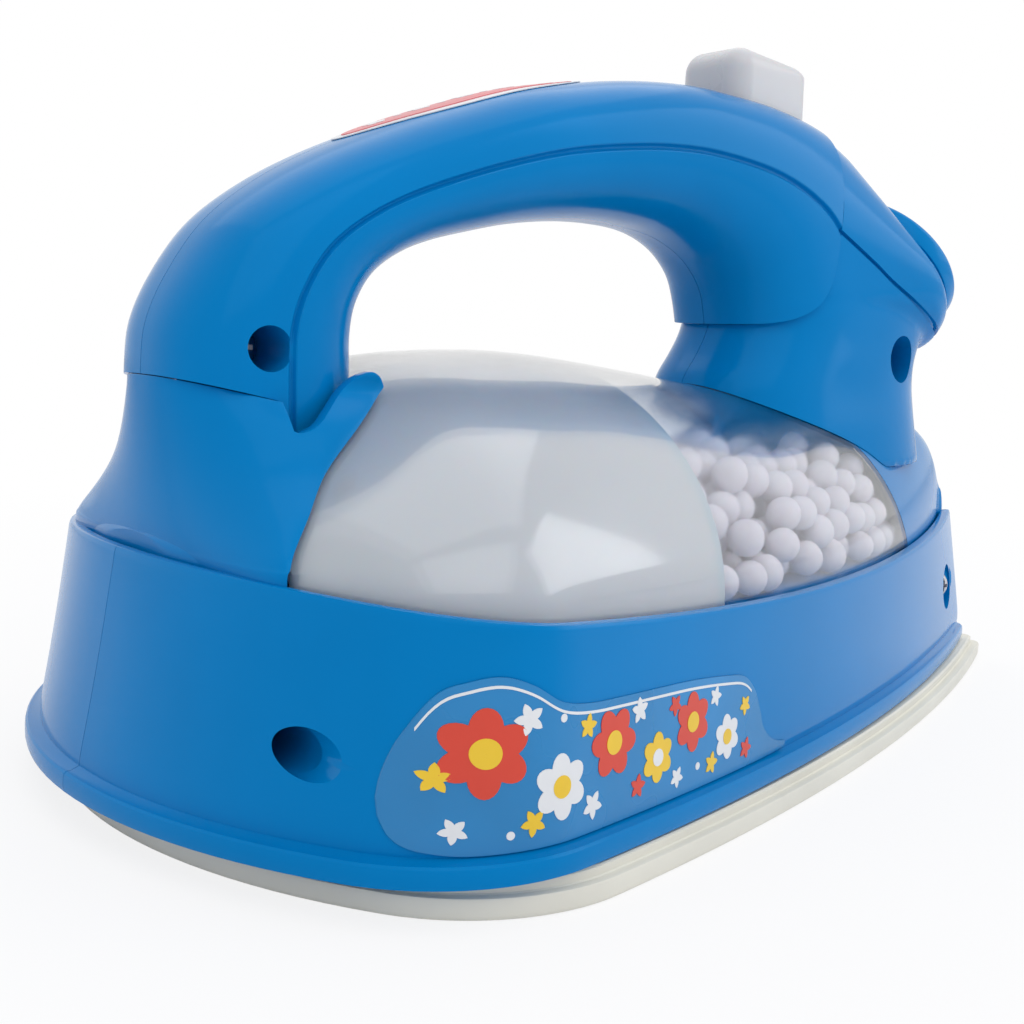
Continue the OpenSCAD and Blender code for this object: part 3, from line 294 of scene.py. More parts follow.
def shell(name, outer, inner, closed=False):
    """Solid between two sheets of the same grid."""
    n, m = len(outer), len(outer[0])
    k = n * m
    faces = grid(outer, closed) + [tuple(reversed(f)) for f in grid(inner, closed, base=k)]
    edges = [(r * m + i, r * m + (i + 1) % m) for r in (0, n - 1) for i in range(m if closed else m - 1)]
    if not closed:
        edges += [(j * m + c, (j + 1) * m + c) for c in (0, m - 1) for j in range(n - 1)]
    faces += [(a, b, b + k, a + k) for a, b in edges]
    return new_object(name, [p for r in outer + inner for p in r], faces)


def apply_modifiers(ob):
    dg = bpy.context.evaluated_depsgraph_get()
    me = bpy.data.meshes.new_from_object(ob.evaluated_get(dg))
    ob.modifiers.clear()
    old = ob.data
    ob.data = me
    bpy.data.meshes.remove(old)


def cut(ob, *cutters, operation="DIFFERENCE"):
    for c in cutters:
        m = ob.modifiers.new("cut", "BOOLEAN")
        m.operation = operation
        m.solver = "EXACT"
        m.object = c
        apply_modifiers(ob)


def drop(*obs):
    for o in obs:
        bpy.data.objects.remove(o, do_unlink=True)


def cylinder(name, place, r, y0, y1, n=64):
    """Cylinder along Y between y0 and y1, round the place (x, z)."""
    return loft(name, [[(place[0] + u, y, place[1] + v) for u, v in circle(r, n)] for y in (y0, y1)])


def prism(name, points, w0=-overrun, w1=overrun):
    """Solid with the outline points in the X and Z plane, between two values of Y."""
    return loft(name, [[(p[0], y, p[1]) for p in points] for y in (w0, w1)])


def block(name, lo, hi):
    return prism(name, [(lo[0], lo[2]), (hi[0], lo[2]), (hi[0], hi[2]), (lo[0], hi[2])], lo[1], hi[1])


def join(name, *obs):
    verts, faces, base = [], [], 0
    for o in obs:
        verts += [tuple(v.co / MM) for v in o.data.vertices]
        faces += [tuple(base + i for i in p.vertices) for p in o.data.polygons]
        base = len(verts)
    drop(*obs)
    ob = linked(name, new_mesh(name, verts, faces))
    ob.data.update()
    shade(ob)
    return ob


# Materials
def new_material(name):
    m = bpy.data.materials.new(name)
    m.use_nodes = True
    nodes = m.node_tree.nodes
    return m, nodes, m.node_tree.links, nodes["Principled BSDF"]


def noise(nodes, links, scale, detail):
    """Noise in the object's own coordinates."""
    coord = nodes.new("ShaderNodeTexCoord")
    tex = nodes.new("ShaderNodeTexNoise")
    tex.inputs["Scale"].default_value = scale
    tex.inputs["Detail"].default_value = detail
    links.new(coord.outputs["Object"], tex.inputs["Vector"])
    return tex.outputs["Fac"]


def map_range(nodes, links, value, to_min, to_max):
    span = nodes.new("ShaderNodeMapRange")
    span.inputs["To Min"].default_value = to_min
    span.inputs["To Max"].default_value = to_max
    links.new(value, span.inputs["Value"])
    return span


def uneven_gloss(nodes, links, fac, bsdf, low, high):
    links.new(map_range(nodes, links, fac, low, high).outputs["Result"], bsdf.inputs["Roughness"])


def maths(nodes, links, operation, a, b):
    node = nodes.new("ShaderNodeMath")
    node.operation = operation
    links.new(a, node.inputs[0])
    links.new(b, node.inputs[1])
    return node.outputs[0]


def rays(nodes, links, *kinds):
    """1 for a ray of any of these kinds, 0 for others."""
    path = nodes.new("ShaderNodeLightPath")
    out = path.outputs[kinds[0]]
    for kind in kinds[1:]:
        out = maths(nodes, links, "MAXIMUM", out, path.outputs[kind])
    return out


def mix_shaders(nodes, links, fac, first, second, target):
    both = nodes.new("ShaderNodeMixShader")
    for i, out in enumerate((fac, first, second)):
        links.new(out, both.inputs[i])
    links.new(both.outputs["Shader"], nodes[target].inputs["Surface"])


def material(name, colour, rough=0.3, vary=0.06, scale=60.0, bump=0.15, bump_scale=900.0, rough_vary=0.06,
             **sockets):
    """Moulded plastic, film or metal: slow drift of colour, uneven gloss and a fine moulded texture."""
    m, nodes, links, bsdf = new_material(name)
    slow = noise(nodes, links, scale, 3)
    ramp = nodes.new("ShaderNodeValToRGB")
    for element, place, sign in zip(ramp.color_ramp.elements, (0.3, 0.7), (-1, 1)):
        element.position = place
        tone = [c * (1 + sign * vary) + max(sign, 0) * vary * 0.01 for c in colour]
        element.color = (*[clamp01(c) for c in tone], 1)
    links.new(slow, ramp.inputs["Fac"])
    links.new(ramp.outputs["Color"], bsdf.inputs["Base Color"])
    uneven_gloss(nodes, links, slow, bsdf, max(rough - rough_vary, 0.02), rough + rough_vary)
    b = nodes.new("ShaderNodeBump")
    b.inputs["Strength"].default_value = bump
    b.inputs["Distance"].default_value = 0.00004
    links.new(noise(nodes, links, bump_scale, 2), b.inputs["Height"])
    links.new(b.outputs["Normal"], bsdf.inputs["Normal"])
    for k, v in sockets.items():
        bsdf.inputs[k.replace("_", " ")].default_value = v
    return m


def srgb(r, g, b):
    return tuple(((c / 255 + 0.055) / 1.055) ** 2.4 if c > 10 else c / 255 / 12.92 for c in (r, g, b))


blue = material("blue_plastic", srgb(0, 123, 191), 0.15, vary=0.05, scale=35, bump=0.08,
                rough_vary=0.04, Specular_IOR_Level=0.17, Specular_Tint=(0.25, 0.7, 1, 1))
plate_mat = material("plate_plastic", srgb(222, 220, 208), 0.45, vary=0.05, bump=0.3, bump_scale=500)
milk_mat = material("milky_plastic", srgb(188, 191, 196), 0.3, vary=0.04, scale=25, Subsurface_Weight=0.3,
                    Subsurface_Scale=0.004)
white_mat = material("white_plastic", srgb(200, 201, 204), 0.28, vary=0.03, Subsurface_Weight=0.15,
                     Subsurface_Scale=0.002)
foam_mat = material("foam", srgb(214, 211, 220), 0.75, vary=0.05, scale=150, bump=0.9, bump_scale=1400,
                    Subsurface_Weight=0.2, Subsurface_Scale=0.002)
black_mat = material("black_plastic", srgb(45, 46, 50), 0.5, vary=0.1, bump=0.4)
steel_mat = material("steel", srgb(190, 190, 195), 0.32, vary=0.08, scale=300, Metallic=1.0)
board_mat = material("board_green", srgb(25, 90, 50), 0.35, vary=0.2, scale=400)
wrap_mat = material("cell_wrap", srgb(40, 60, 120), 0.25, vary=0.15, scale=120)
red_film = material("red_film", srgb(214, 96, 104), 0.3, vary=0.04)
white_film = material("white_film", srgb(226, 228, 230), 0.3, vary=0.03)
blue_film = material("blue_film", srgb(18, 128, 190), 0.28, vary=0.12, scale=45)
orange_film = material("orange_film", srgb(214, 62, 40), 0.3, vary=0.06)
yellow_film = material("yellow_film", srgb(236, 196, 40), 0.3, vary=0.06)


def glass_material():
    m, nodes, links, bsdf = new_material("clear_plastic")
    bsdf.inputs["Base Color"].default_value = (0.97, 0.98, 0.99, 1)
    bsdf.inputs["Transmission Weight"].default_value = 1.0
    bsdf.inputs["IOR"].default_value = 1.45
    bsdf.inputs["Specular IOR Level"].default_value = 0.1
    uneven_gloss(nodes, links, noise(nodes, links, 60, 2), bsdf, 0.04, 0.11)
    # Light passes the thin shell without caustics, so that what lies inside is lit
    clear = nodes.new("ShaderNodeBsdfTransparent")
    clear.inputs["Color"].default_value = (0.93, 0.94, 0.95, 1)
    mix_shaders(nodes, links, rays(nodes, links, "Is Shadow Ray", "Is Diffuse Ray"), bsdf.outputs["BSDF"],
                clear.outputs["BSDF"], "Material Output")
    return m


clear_mat = glass_material()


def dress(ob, mat, body, slot, *nodes):
    ob.data.materials.clear()
    ob.data.materials.append(mat)
    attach(ob, body)
    if nodes:
        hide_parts(*nodes)
    return ob


# Skirt: a closed section swept along each half of the outline
def skirt_rows(side):
    """A flange point ("f") has its height, a point of the wall ("s") its share of the wall's height."""
    prof = [("f", flange_w + wall, flange_z), ("f", flange_t * 0.2, flange_z), ("f", 0.12, flange_z + 0.12),
            ("f", 0, flange_z + flange_t * 0.25), ("f", 0, flange_z + flange_t * 0.7),
            ("f", 0.1, flange_z + flange_t * 0.88), ("f", 0.35, flange_z + flange_t * 0.98),
            ("f", flange_w * 0.7, flange_z + flange_t)]
    levels = [0, 0.006, 0.015, 0.03, 0.05, 0.08, 0.12] + [0.12 + 0.8 * i / 16 for i in range(1, 17)]
    for u in levels + [0.95, 0.97]:
        prof.append(("s", flange_w * (1 + 0.25 * math.exp(-20 * u)) + side_lean * u, u * 0.985 + 0.015))
    edge = flange_w + side_lean
    prof += [("s", edge + 0.03, 0.985), ("s", edge + 0.14, 0.996), ("s", edge + 0.36, 1.0),
             ("s", edge + wall - 0.36, 1.0), ("s", edge + wall - 0.1, 0.99)]
    prof += [("s", flange_w + wall + side_lean * u, u) for u in (0.94, 0.8, 0.6, 0.4, 0.2, 0.05)]
    cols = [[(x, y, z) for x, y in half_outline(d)] if kind == "f" else skirt_ring(d, z)
            for kind, d, z in prof]
    return [[(x, side * max(y, gap / 2), z) for x, y, z in row] for row in zip(*cols)]


ring_lines = {}


def half_width(d, u, x):
    key = (round(d, 4), round(u, 3))
    if key not in ring_lines:
        r = skirt_ring(d, u)
        ring_lines[key] = (np.array([p[0] for p in r]), np.array([p[1] for p in r]))
    xs, ys = ring_lines[key]
    return float(np.interp(x, xs, ys))


def skirt_y(x, z, inset):
    u = clamp01((z - flange_z - flange_t) / (rim_height(x) - flange_z - flange_t))
    return half_width(flange_w + side_lean * u + inset, round(u, 2), x)


post_x = heel_x + post_back
fpost_x = heel_x + fpost_back
grip_rise = grip_top - seam_z
grip_well = (post_x + 0.39 * post_l, seam_z + 0.062 * grip_rise)
post_well = (fpost_x + 0.683 * fpost_l, seam_z + 0.09 * grip_rise)
heel_well = (heel_x + 0.068 * base_l, 0.6 * rim_z)
nose_well = (heel_x + 0.915 * base_l, 0.61 * rim_z)

for side, name in sides:
    ob = loft("shell_skirt_" + name, skirt_rows(side))
    if side < 0:
        # Where the wall is slanted, the opening is narrower than the tube behind it
        for place, r, squeeze in ((heel_well, heel_well_r, 0.72), (nose_well, nose_well_r, 1)):
            tool = cylinder("tool", place, r, -overrun, -2.5)
            for v in tool.data.vertices:
                v.co.x = place[0] * MM + (v.co.x - place[0] * MM) * squeeze
            cut(ob, tool)
            drop(tool)
            # The well's tube, from the wall's middle down to its floor
            rows = []
            for rr, end in ((r, 1), (r, 0), (r + 1, 0), (r + 1, 1)):
                row = []
                for u, v in circle(rr, 48):
                    x, z = place[0] + u, place[1] + v
                    y = skirt_y(x, z, wall * 0.55) if end else head_y
                    row.append((x, -max(y, head_y), z))
                rows.append(row)
            floor = [[(place[0] + u, -head_y + 0.02, place[1] + v) for u, v in circle(rr, 48)]
                     for rr in (r + 0.2, 1.4)]
            tube = loft("tube", rows, True, False)
            base = loft("base", floor, True, False)
            ob = join("shell_skirt_" + name, ob, tube, base)
    ob.name = "shell_skirt_" + name
    shade(ob)
    dress(ob, blue, "iron", "blue_plastic", "skirt_" + name)

# Dome: half ellipses over the rim
dome_inset = flange_w + side_lean + wall + gap
crest_shares = [
    [0.036, 0.215], [0.078, 0.386], [0.12, 0.597], [0.159, 0.765], [0.186, 0.881], [0.222, 0.952],
    [0.27, 0.986], [0.342, 0.993], [0.45, 0.93], [0.57, 0.845], [0.72, 0.79], [0.82, 0.73],
    [0.885, 0.63], [0.925, 0.47], [0.945, 0.27], [0.956, 0.1]
]
crest_x = np.linspace(0.03, 0.97, 400)
crest_v = np.array([lookup(crest_shares, x) for x in crest_x])
crest_v = np.convolve(np.pad(crest_v, 9, mode="edge"), np.ones(19) / 19, mode="valid")


def crest_height(x):
    return rim_z + dome_rise * float(np.interp((x - heel_x) / base_l, crest_x, crest_v))


def dome_point(x, a, g):
    w = max(half_width(dome_inset, 1.0, x) + g * 0.95, 0.3)
    z0 = rim_height(x)
    h = max(crest_height(x) - z0, 0.45) + g
    return (x, -w * cosd(a), z0 + h * sind(a))


split_low_x = heel_x + 0.769 * base_l
split_top_x = heel_x + 0.62 * base_l
split_slope = (split_top_x - split_low_x) / dome_rise


def split_x(z):
    return split_low_x + split_slope * (z - rim_z)


def split_at(a, g, shift=0.0):
    x = split_low_x
    for _ in range(30):
        x = 0.5 * x + 0.5 * (split_x(dome_point(x, a, g)[2]) + shift)
    return x


def dome_sheet(x_from, x_to, g, n=90, m=48, foot=2.5):
    """Rows from x_from(a) to x_to(a), with a short upright foot inside the rim."""
    rows = []
    angles = [180 * i / m for i in range(m + 1)]
    for j in range(n + 1):
        row = [dome_point(mix(x_from(a), x_to(a), j / n), a, g) for a in angles]
        first, last = row[0], row[-1]
        rows.append([(first[0], first[1], first[2] - foot)] + row + [(last[0], last[1], last[2] - foot)])
    return rows


dome_back = post_x + 0.152 * hood_l
window = shell("window_shell", *[
    dome_sheet(lambda a: dome_back + gap, lambda a, g=g: split_at(a, g, -gap), g) for g in (0, -dome_wall)])
dress(window, clear_mat, "iron", "clear_plastic", "window_dome")

liner_g = -(dome_wall + gap)
liner_back = dome_back + liner_wall
liner_front = heel_x + liner_l
liner = shell("liner_shell", *[
    dome_sheet(lambda a: liner_back, lambda a: liner_front, g, 60, 48, 1.5)
    for g in (liner_g, liner_g - liner_wall)])
# Front wall of the liner
rows = []
for x in (liner_front - liner_wall, liner_front - 0.02):
    edge = [dome_point(x, 180 * i / 48, liner_g - 0.1) for i in range(49)]
    rows.append([(x, edge[0][1], 25)] + edge + [(x, edge[-1][1], 25)])
liner = join("liner_shell", liner, loft("front", rows))
dress(liner, milk_mat, "iron", "milky_plastic", "milky_liner")


def closed_front(rows, x_add):
    """The last row drawn in along a quarter circle, down to the rim."""
    last = rows[-1]
    mid = sum(p[1] for p in last) / len(last)
    low = last[0][2]
    out = list(rows)
    for i in range(1, 8):
        c, s = cosd(90 * i / 7), sind(90 * i / 7)
        c = max(c, 0.03)
        out.append([(x + x_add * s, mid + (y - mid) * c, low + (z - low) * c) for x, y, z in last])
    return out


cap_x = heel_x + base_l * 0.948
nose = shell(
    "nose_shell",
    closed_front(dome_sheet(lambda a: split_at(a, 0, gap), lambda a: cap_x, 0, 60, 48), 1.4),
    closed_front(dome_sheet(lambda a: split_at(a, -wall, gap), lambda a: cap_x - 1.2, -wall, 60, 48), 1.0))
dress(nose, blue, "iron", "blue_plastic", "nose_cap")

# Rear hood and its shoulder
hood_shares = [
    [-0.2, 1, 0.15, 1.7], [0, 1, 0.152, 1.7], [0.05, 0.9, 0.17, 1.72], [0.13, 0.75, 0.213, 1.76],
    [0.28, 0.45, 0.326, 1.86], [0.49, 0.2, 0.5, 2], [0.74, 0.05, 0.757, 2.2], [0.9, 0, 0.93, 2.45],
    [1, 0, 1, 2.5]
]
hood_h = seam_z - hood_z


def rim_half_width(x):
    if x > corner_cx:
        return side_cy + math.sqrt((side_r - dome_inset) ** 2 - (x - side_cx) ** 2)
    return corner_cy + math.sqrt(max((corner_r - dome_inset) ** 2 - (x - corner_cx) ** 2, 0))


band_x = post_x + 9.7
band_z = 47.05
behind = (-110, 56.5)
tongue = [
    (band_x, 44.2), (band_x + 0.7, 44.0), (-65.4, 44.7), (-63.4, 46.3), (-61.6, 47.8), (-60.1, 49.1),
    (-59.1, 49.8), (-58.2, 50.2), (-57.3, 50.4), (-56.4, 50.0), (-55.8, 49.2), (-55.4, 48.0), (-54.5, 46.5)
]
hood_edge = [behind, (band_x, band_z)]
hood_edge += [tuple(q) for q in curve(tongue, 4)]
hood_edge += [(-40, 45.0), (-40, 80.0), (-110, 80.0)]


def hood_half_width(x, z):
    r = heel_r - dome_inset - heel_lean * 0.7
    dx = heel_x + heel_r - x
    plan = 0
    if dx < r:
        plan = min(math.sqrt(r * r - dx * dx), rim_half_width(max(x, corner_cx - corner_r * 0.5)))
    z0 = rim_height(x)
    t = clamp01((z - z0) / (crest_height(x) - z0))
    return plan * math.sqrt(1 - t * t)


hood_facts = []
for q in hood_shares:
    qz = hood_z + q[0] * hood_h
    qx = post_x + hood_l * q[2]
    qy = max(hood_half_width(qx, max(qz, rim_height(qx))) + lip_t, post_w / 2 + lip_t)
    hood_facts.append([qz, post_x - hood_flare * q[1], qx, qy, q[3]])


def hood_row(t, d, m=60):
    z, xb, xl, yl, square = along(hood_facts, t)
    xb += d
    yl -= d * 0.78
    e = 2 / square
    pts = []
    for i in range(-m, m + 1):
        a = math.radians(90 * abs(i) / m)
        c, s = max(math.cos(a), 0) ** e, math.sin(a) ** e
        pts.append((xb + (xl - xb) * (1 - c), math.copysign(yl * s, i), z))
    return pts


sheets = [[hood_row(i / 10, d) for i in range(81)] for d in (0, wall)]
for rows in sheets:
    rows.append([(x, y, z + 0.6) for x, y, z in rows[-1]])
hood = shell("hood_shell", *sheets)
# Its upper edge: slanted under the grip, lower round the band, and a rounded tongue in front
tool = prism("tool", [(x, z - gap) for x, z in hood_edge])
cut(hood, tool)
drop(tool)
m = hood.modifiers.new("edge", "BEVEL")
m.width = 0.3 * MM
m.segments = 2
m.angle_limit = math.radians(50)
m.limit_method = "ANGLE"
apply_modifiers(hood)
shoulder = loft("shoulder", dome_sheet(lambda a: heel_x + 8.05, lambda a: dome_back, 0, 24, 48))
hood = join("hood_shell", hood, shoulder)
dress(hood, blue, "iron", "blue_plastic", "rear_hood")

# Grip: sections of the arch
arch_shares = [
    [0, -0.175, 0.223, -0.175], [0, 0, 0.223, 0], [0.005, 0.125, 0.223, 0.112], [0.027, 0.258, 0.23, 0.2],
    [0.064, 0.4, 0.25, 0.28], [0.114, 0.513, 0.286, 0.345], [0.177, 0.615, 0.332, 0.393],
    [0.255, 0.713, 0.391, 0.435], [0.332, 0.795, 0.445, 0.468], [0.418, 0.875, 0.505, 0.493],
    [0.505, 0.93, 0.564, 0.508], [0.595, 0.975, 0.623, 0.51], [0.686, 1, 0.677, 0.498],
    [0.768, 1, 0.723, 0.465], [0.85, 0.985, 0.762, 0.408], [0.932, 0.945, 0.792, 0.32],
    [1.005, 0.875, 0.805, 0.213], [1.077, 0.725, 0.814, 0.05]
]
arch_last = len(arch_shares) - 1


def arch_ends(t):
    r = along(arch_shares, t)
    o = np.array([post_x + r[0] * grip_l, seam_z + r[1] * grip_rise])
    n = np.array([post_x + (r[2] - 0.223) * grip_l + post_l, seam_z + r[3] * grip_rise])
    return o, n


def arch_half(t, g=0.0, groove=True, m=20):
    """Half section, from the outer line round the side to the inner line: (x, y, z) with y from 0 up."""
    o, n = arch_ends(t)
    c, h = (o + n) / 2, (o - n) / 2
    size = float(np.linalg.norm(h))
    k = 1 + g / size
    w = post_w / 2 * (1 - 0.1 * sind(180 * t / arch_last)) + g
    e = 2 / 2.5
    near = [0.55, 0.42, 0.25, 0.1, -0.1, -0.25, -0.42, -0.55]
    dent = [0, 0.1, 0.5, 0.62, 0.62, 0.5, 0.1, 0]
    # Towards the sleeve's end the groove leaves the middle, to meet the line on the head
    shift = 2.1 * clamp01((t - 12.3) / 4.2) ** 1.5
    sunk = []
    for s, d in zip(near, dent):
        q = s + shift
        sunk.append((math.acos(math.copysign((abs(q) / size) ** (1 / e), q)), d if groove else 0))
    first, last = sunk[0][0], sunk[-1][0]
    angles = [(first * i / m, 0) for i in range(m)] + sunk
    angles += [(last + (math.pi - last) * i / m, 0) for i in range(1, m + 1)]
    pts = []
    for a, d in angles:
        cs, sn = math.cos(a), math.sin(a)
        p = c + h * k * math.copysign(abs(cs) ** e, cs)
        pts.append((p[0], max(w * abs(sn) ** e - d, 0), p[1]))
    return pts


sleeve_end_shares = [
    [0.575, 0.19], [0.598, 0.2], [0.62, 0.225], [0.64, 0.275], [0.652, 0.35], [0.658, 0.45], [0.661, 0.56],
    [0.664, 0.7], [0.667, 0.85], [0.669, 1], [0.67, 1.1]
]


def sleeve_outline(shift):
    edge = [(heel_x + s[0] * base_l - shift, seam_z + s[1] * grip_rise + shift)
            for s in curve(sleeve_end_shares, 6)]
    low = edge[0][1]
    mid = heel_x + 0.4 * base_l
    return [(heel_x - 20, 20), (mid, 20), (mid, low)] + edge + [(edge[-1][0], 130), (heel_x - 20, 130)]


pocket_z = grip_top - pocket_d
pocket_x = heel_x + button_x - button_l / 2 - button_travel - button_gap
pocket_l = button_l + button_travel + 2 * button_gap
pocket_w = button_w + 2 * button_gap


def rounded_plan(x0, x1, y, r, n):
    """Rectangle from x0 to x1 and -y to y, with rounded corners."""
    plan = []
    for cx, cy, a0 in ((x1 - r, y - r, 0), (x0 + r, y - r, 90), (x0 + r, r - y, 180), (x1 - r, r - y, 270)):
        plan += [(cx + r * cosd(a0 + 90 * i / n), cy + r * sind(a0 + 90 * i / n)) for i in range(n + 1)]
    return plan


def dome_solid(name, x, length, n):
    """The dome's form and a gap over it, from x on."""
    return loft(name, [[dome_point(heel_x + x + length * j / n, 180 * i / 64, gap) for i in range(65)]
                       for j in range(n + 1)])


for side, name in sides:
    # The gap between the halves shows as a seam
    rows = [[(x, side * max(y, gap / 2), z) for x, y, z in arch_half(i / 7)]
            for i in range(arch_last * 7 + 1)]
    ob = loft("shell_grip_" + name, rows)
    zone = prism("zone", sleeve_outline(gap))
    cut(ob, zone, operation="INTERSECT")
    drop(zone)
    low = prism("low", [behind, (band_x, band_z), (band_x, 43.4), (60, 43.4), (60, 20), (-110, 20)])
    plan = rounded_plan(pocket_x, pocket_x + pocket_l, pocket_w / 2, 3.4, 8)
    pocket = loft("pocket", [[(x, y, z) for x, y in plan] for z in (pocket_z, 120)])
    tools = [low, dome_solid("dome", 20, 40, 20), pocket]
    if side < 0:
        tools.append(cylinder("well", grip_well, grip_well_r, -overrun, -head_y))
    cut(ob, *tools)
    drop(*tools)
    ob.name = "shell_grip_" + name
    shade(ob, 28)
    dress(ob, blue, "iron", "blue_plastic", "grip_" + name)

# Head and front post: one smooth body, then its two halves
fpost_low = 0.6 * fpost_top
fpost_shares = [
    [0, -0.15, 0.02, 1], [0.2, -0.14, 0, 0.75], [0.4, -0.13, -0.015, 0.45], [0.52, -0.11, -0.02, 0.3],
    [0.64, -0.06, -0.015, 0.2], [0.76, -0.02, 0.01, 0.1], [0.88, 0, 0.035, 0.04], [1, 0, 0.04, 0]
]


def fpost_ring(t, g=0.0, n=72):
    row = along(fpost_shares, t)
    z = mix(fpost_low, fpost_top, row[0])
    x0 = fpost_x + row[1] * fpost_l - g
    x1 = fpost_x + fpost_l * (1 + row[2]) - fpost_l * 0.04 + g
    w = mix(fpost_w, foot_w, row[3]) / 2 + g
    e = 2 / 2.6
    pts = []
    for j in range(n):
        c, s = cosd(360 * j / n), sind(360 * j / n)
        pts.append(((x0 + x1) / 2 + (x1 - x0) / 2 * math.copysign(abs(c) ** e, c),
                    w * math.copysign(abs(s) ** e, s), z))
    return pts


def dial_frame(p):
    """From the dial's own frame to the model's."""
    c, s = cosd(dial_tilt), sind(dial_tilt)
    return (heel_x + dial_x + c * p[0] + s * p[2], p[1], dial_z - s * p[0] + c * p[2])


def dial_cylinder(name, r, z0, z1, n):
    return loft(name, [[dial_frame((u, v, z)) for u, v in circle(r, n)] for z in (z0, z1)])


def full_section(t, g):
    half = arch_half(t, g, False)
    return half + [(x, -y, z) for x, y, z in reversed(half[1:-1])]


def hull_object(name, points):
    bm = bmesh.new()
    for p in points:
        bm.verts.new((p[0] * MM, p[1] * MM, p[2] * MM))
    bmesh.ops.convex_hull(bm, input=bm.verts)
    loose = [v for v in bm.verts if not v.link_faces]
    bmesh.ops.delete(bm, geom=loose, context="VERTS")
    me = bpy.data.meshes.new(name)
    bm.to_mesh(me)
    bm.free()
    return linked(name, me)


def head_body(name, g, voxel):
    pts = []
    for t in (14, 14.5, 15, 15.5, 16):
        pts += full_section(t, g - sleeve_step)
    pts += fpost_ring(7, g)
    for i in range(72):
        c, s = cosd(5 * i), sind(5 * i)
        for r, z in ((collar_d / 2, -collar_t), (collar_d / 2, -collar_t / 3), (collar_d / 2 - 0.5, 0)):
            pts.append(dial_frame(((r + g) * c, (r + g) * s, z + min(g, 0))))
    hull = hull_object("hull", pts)
    post = loft("post", [fpost_ring(i / 6, g) for i in range(43)])
    ob = join(name, hull, post)
    m = ob.modifiers.new("remesh", "REMESH")
    m.mode = "VOXEL"
    m.voxel_size = voxel * MM
    apply_modifiers(ob)
    m = ob.modifiers.new("smooth", "SMOOTH")
    m.factor = 0.5
    m.iterations = 10
    apply_modifiers(ob)
    return ob


head_line_shares = [[0.65, 0.56], [0.665, 0.53], [0.709, 0.433], [0.733, 0.375], [0.771, 0.3], [0.829, 0.2],
                    [0.87, 0.13]]
mid_pts = [(heel_x + s[0] * base_l, seam_z + s[1] * grip_rise) for s in curve(head_line_shares, 4)]
dome_tool = dome_solid("dome_tool", 60, 100, 90)
voxel = 0.5
body = head_body("head", 0, voxel)
core = head_body("core", -groove_d, 0.9)
ribbon = [(x, z + groove_w / 2) for x, z in mid_pts] + [(x, z - groove_w / 2) for x, z in reversed(mid_pts)]
line = prism("line", ribbon, -40, 40)
cut(line, core)
drop(core)
zone = prism("zone", sleeve_outline(0))
cut(body, line, zone, dome_tool)
drop(line, zone, dome_tool)
well = cylinder("well", post_well, post_well_r, -overrun, -head_y)
recess = dial_cylinder("recess", dial_d / 2 + dial_gap, 0, 30, 72)
cut(body, well, recess)
drop(well, recess)
for side, name in sides:
    half = linked("half", body.data.copy())
    bm = bmesh.new()
    bm.from_mesh(half.data)
    bmesh.ops.bisect_plane(bm, geom=bm.verts[:] + bm.edges[:] + bm.faces[:], dist=1e-7,
                           plane_co=(0, side * gap / 2 * MM, 0), plane_no=(0, -side, 0), clear_outer=True)
    bmesh.ops.holes_fill(bm, edges=[e for e in bm.edges if len(e.link_faces) == 1], sides=0)
    bm.to_mesh(half.data)
    bm.free()
    half.name = "shell_head_" + name
    shade(half, 35)
    dress(half, blue, "iron", "blue_plastic", "front_post_" + name)
drop(body)

# Dial: a turned knob with a finger dimple
def dial_profile():
    r, z0 = dial_d / 2, dial_gap
    e = dial_t / 3
    crown_r = (r * r + dial_crown ** 2) / (2 * dial_crown)
    top = z0 + dial_t + dial_crown
    pts = [(0, z0), (r - 0.3, z0), (r - 0.08, z0 + 0.08), (r, z0 + 0.3), (r, z0 + dial_t - e)]
    pts += [(r - e + e * cosd(a), z0 + dial_t - e + e * sind(a)) for a in range(10, 81, 10)]
    for i in range(1, 41):
        x = (r - e) * (1 - i / 40)
        pts.append((x, min(top - crown_r + math.sqrt(crown_r ** 2 - x * x), top)))
    return pts


dimple_r = 3.8
rows = []
for c, s in circle(1, 144):
    row = []
    for r, z in dial_profile():
        x, y = r * c, r * s
        dx = math.hypot(x - dial_d * 0.275, y)
        if z > 3 and dx < dimple_r:
            z -= 0.375 * (1 + math.cos(math.pi * dx / dimple_r))
        row.append(dial_frame((x, y, z)))
    rows.append(row)
rows.append(rows[0])
knob = loft("dial_knob_shell", rows, False, False)
knob = join("dial_knob_shell", knob, dial_cylinder("shaft", dial_shaft_r, -7, 0.4, 36))
dress(knob, blue, "dial_knob", "blue_plastic", "dial")

# Slide button: rounded block, a little narrower at its top
button_mid = heel_x + button_x
z0 = pocket_z + button_gap
z1 = z0 + button_h
r = button_r


def button_ring(inset, z):
    a, b = button_l / 2 - inset, button_w / 2 - inset
    plan = rounded_plan(button_mid - a, button_mid + a, b, max(button_r - inset, 0.15), 10)
    return [(x, y, z) for x, y in plan]


rows = [button_ring(0.12 * i / 8, z0 + (button_h - r) * i / 8) for i in range(9)]
for i in range(1, 15):
    a = 86 * i / 14
    rows.append(button_ring(0.12 + (r - 0.3) * (1 - cosd(a)), z1 - r + (r - 0.25) * sind(a)))
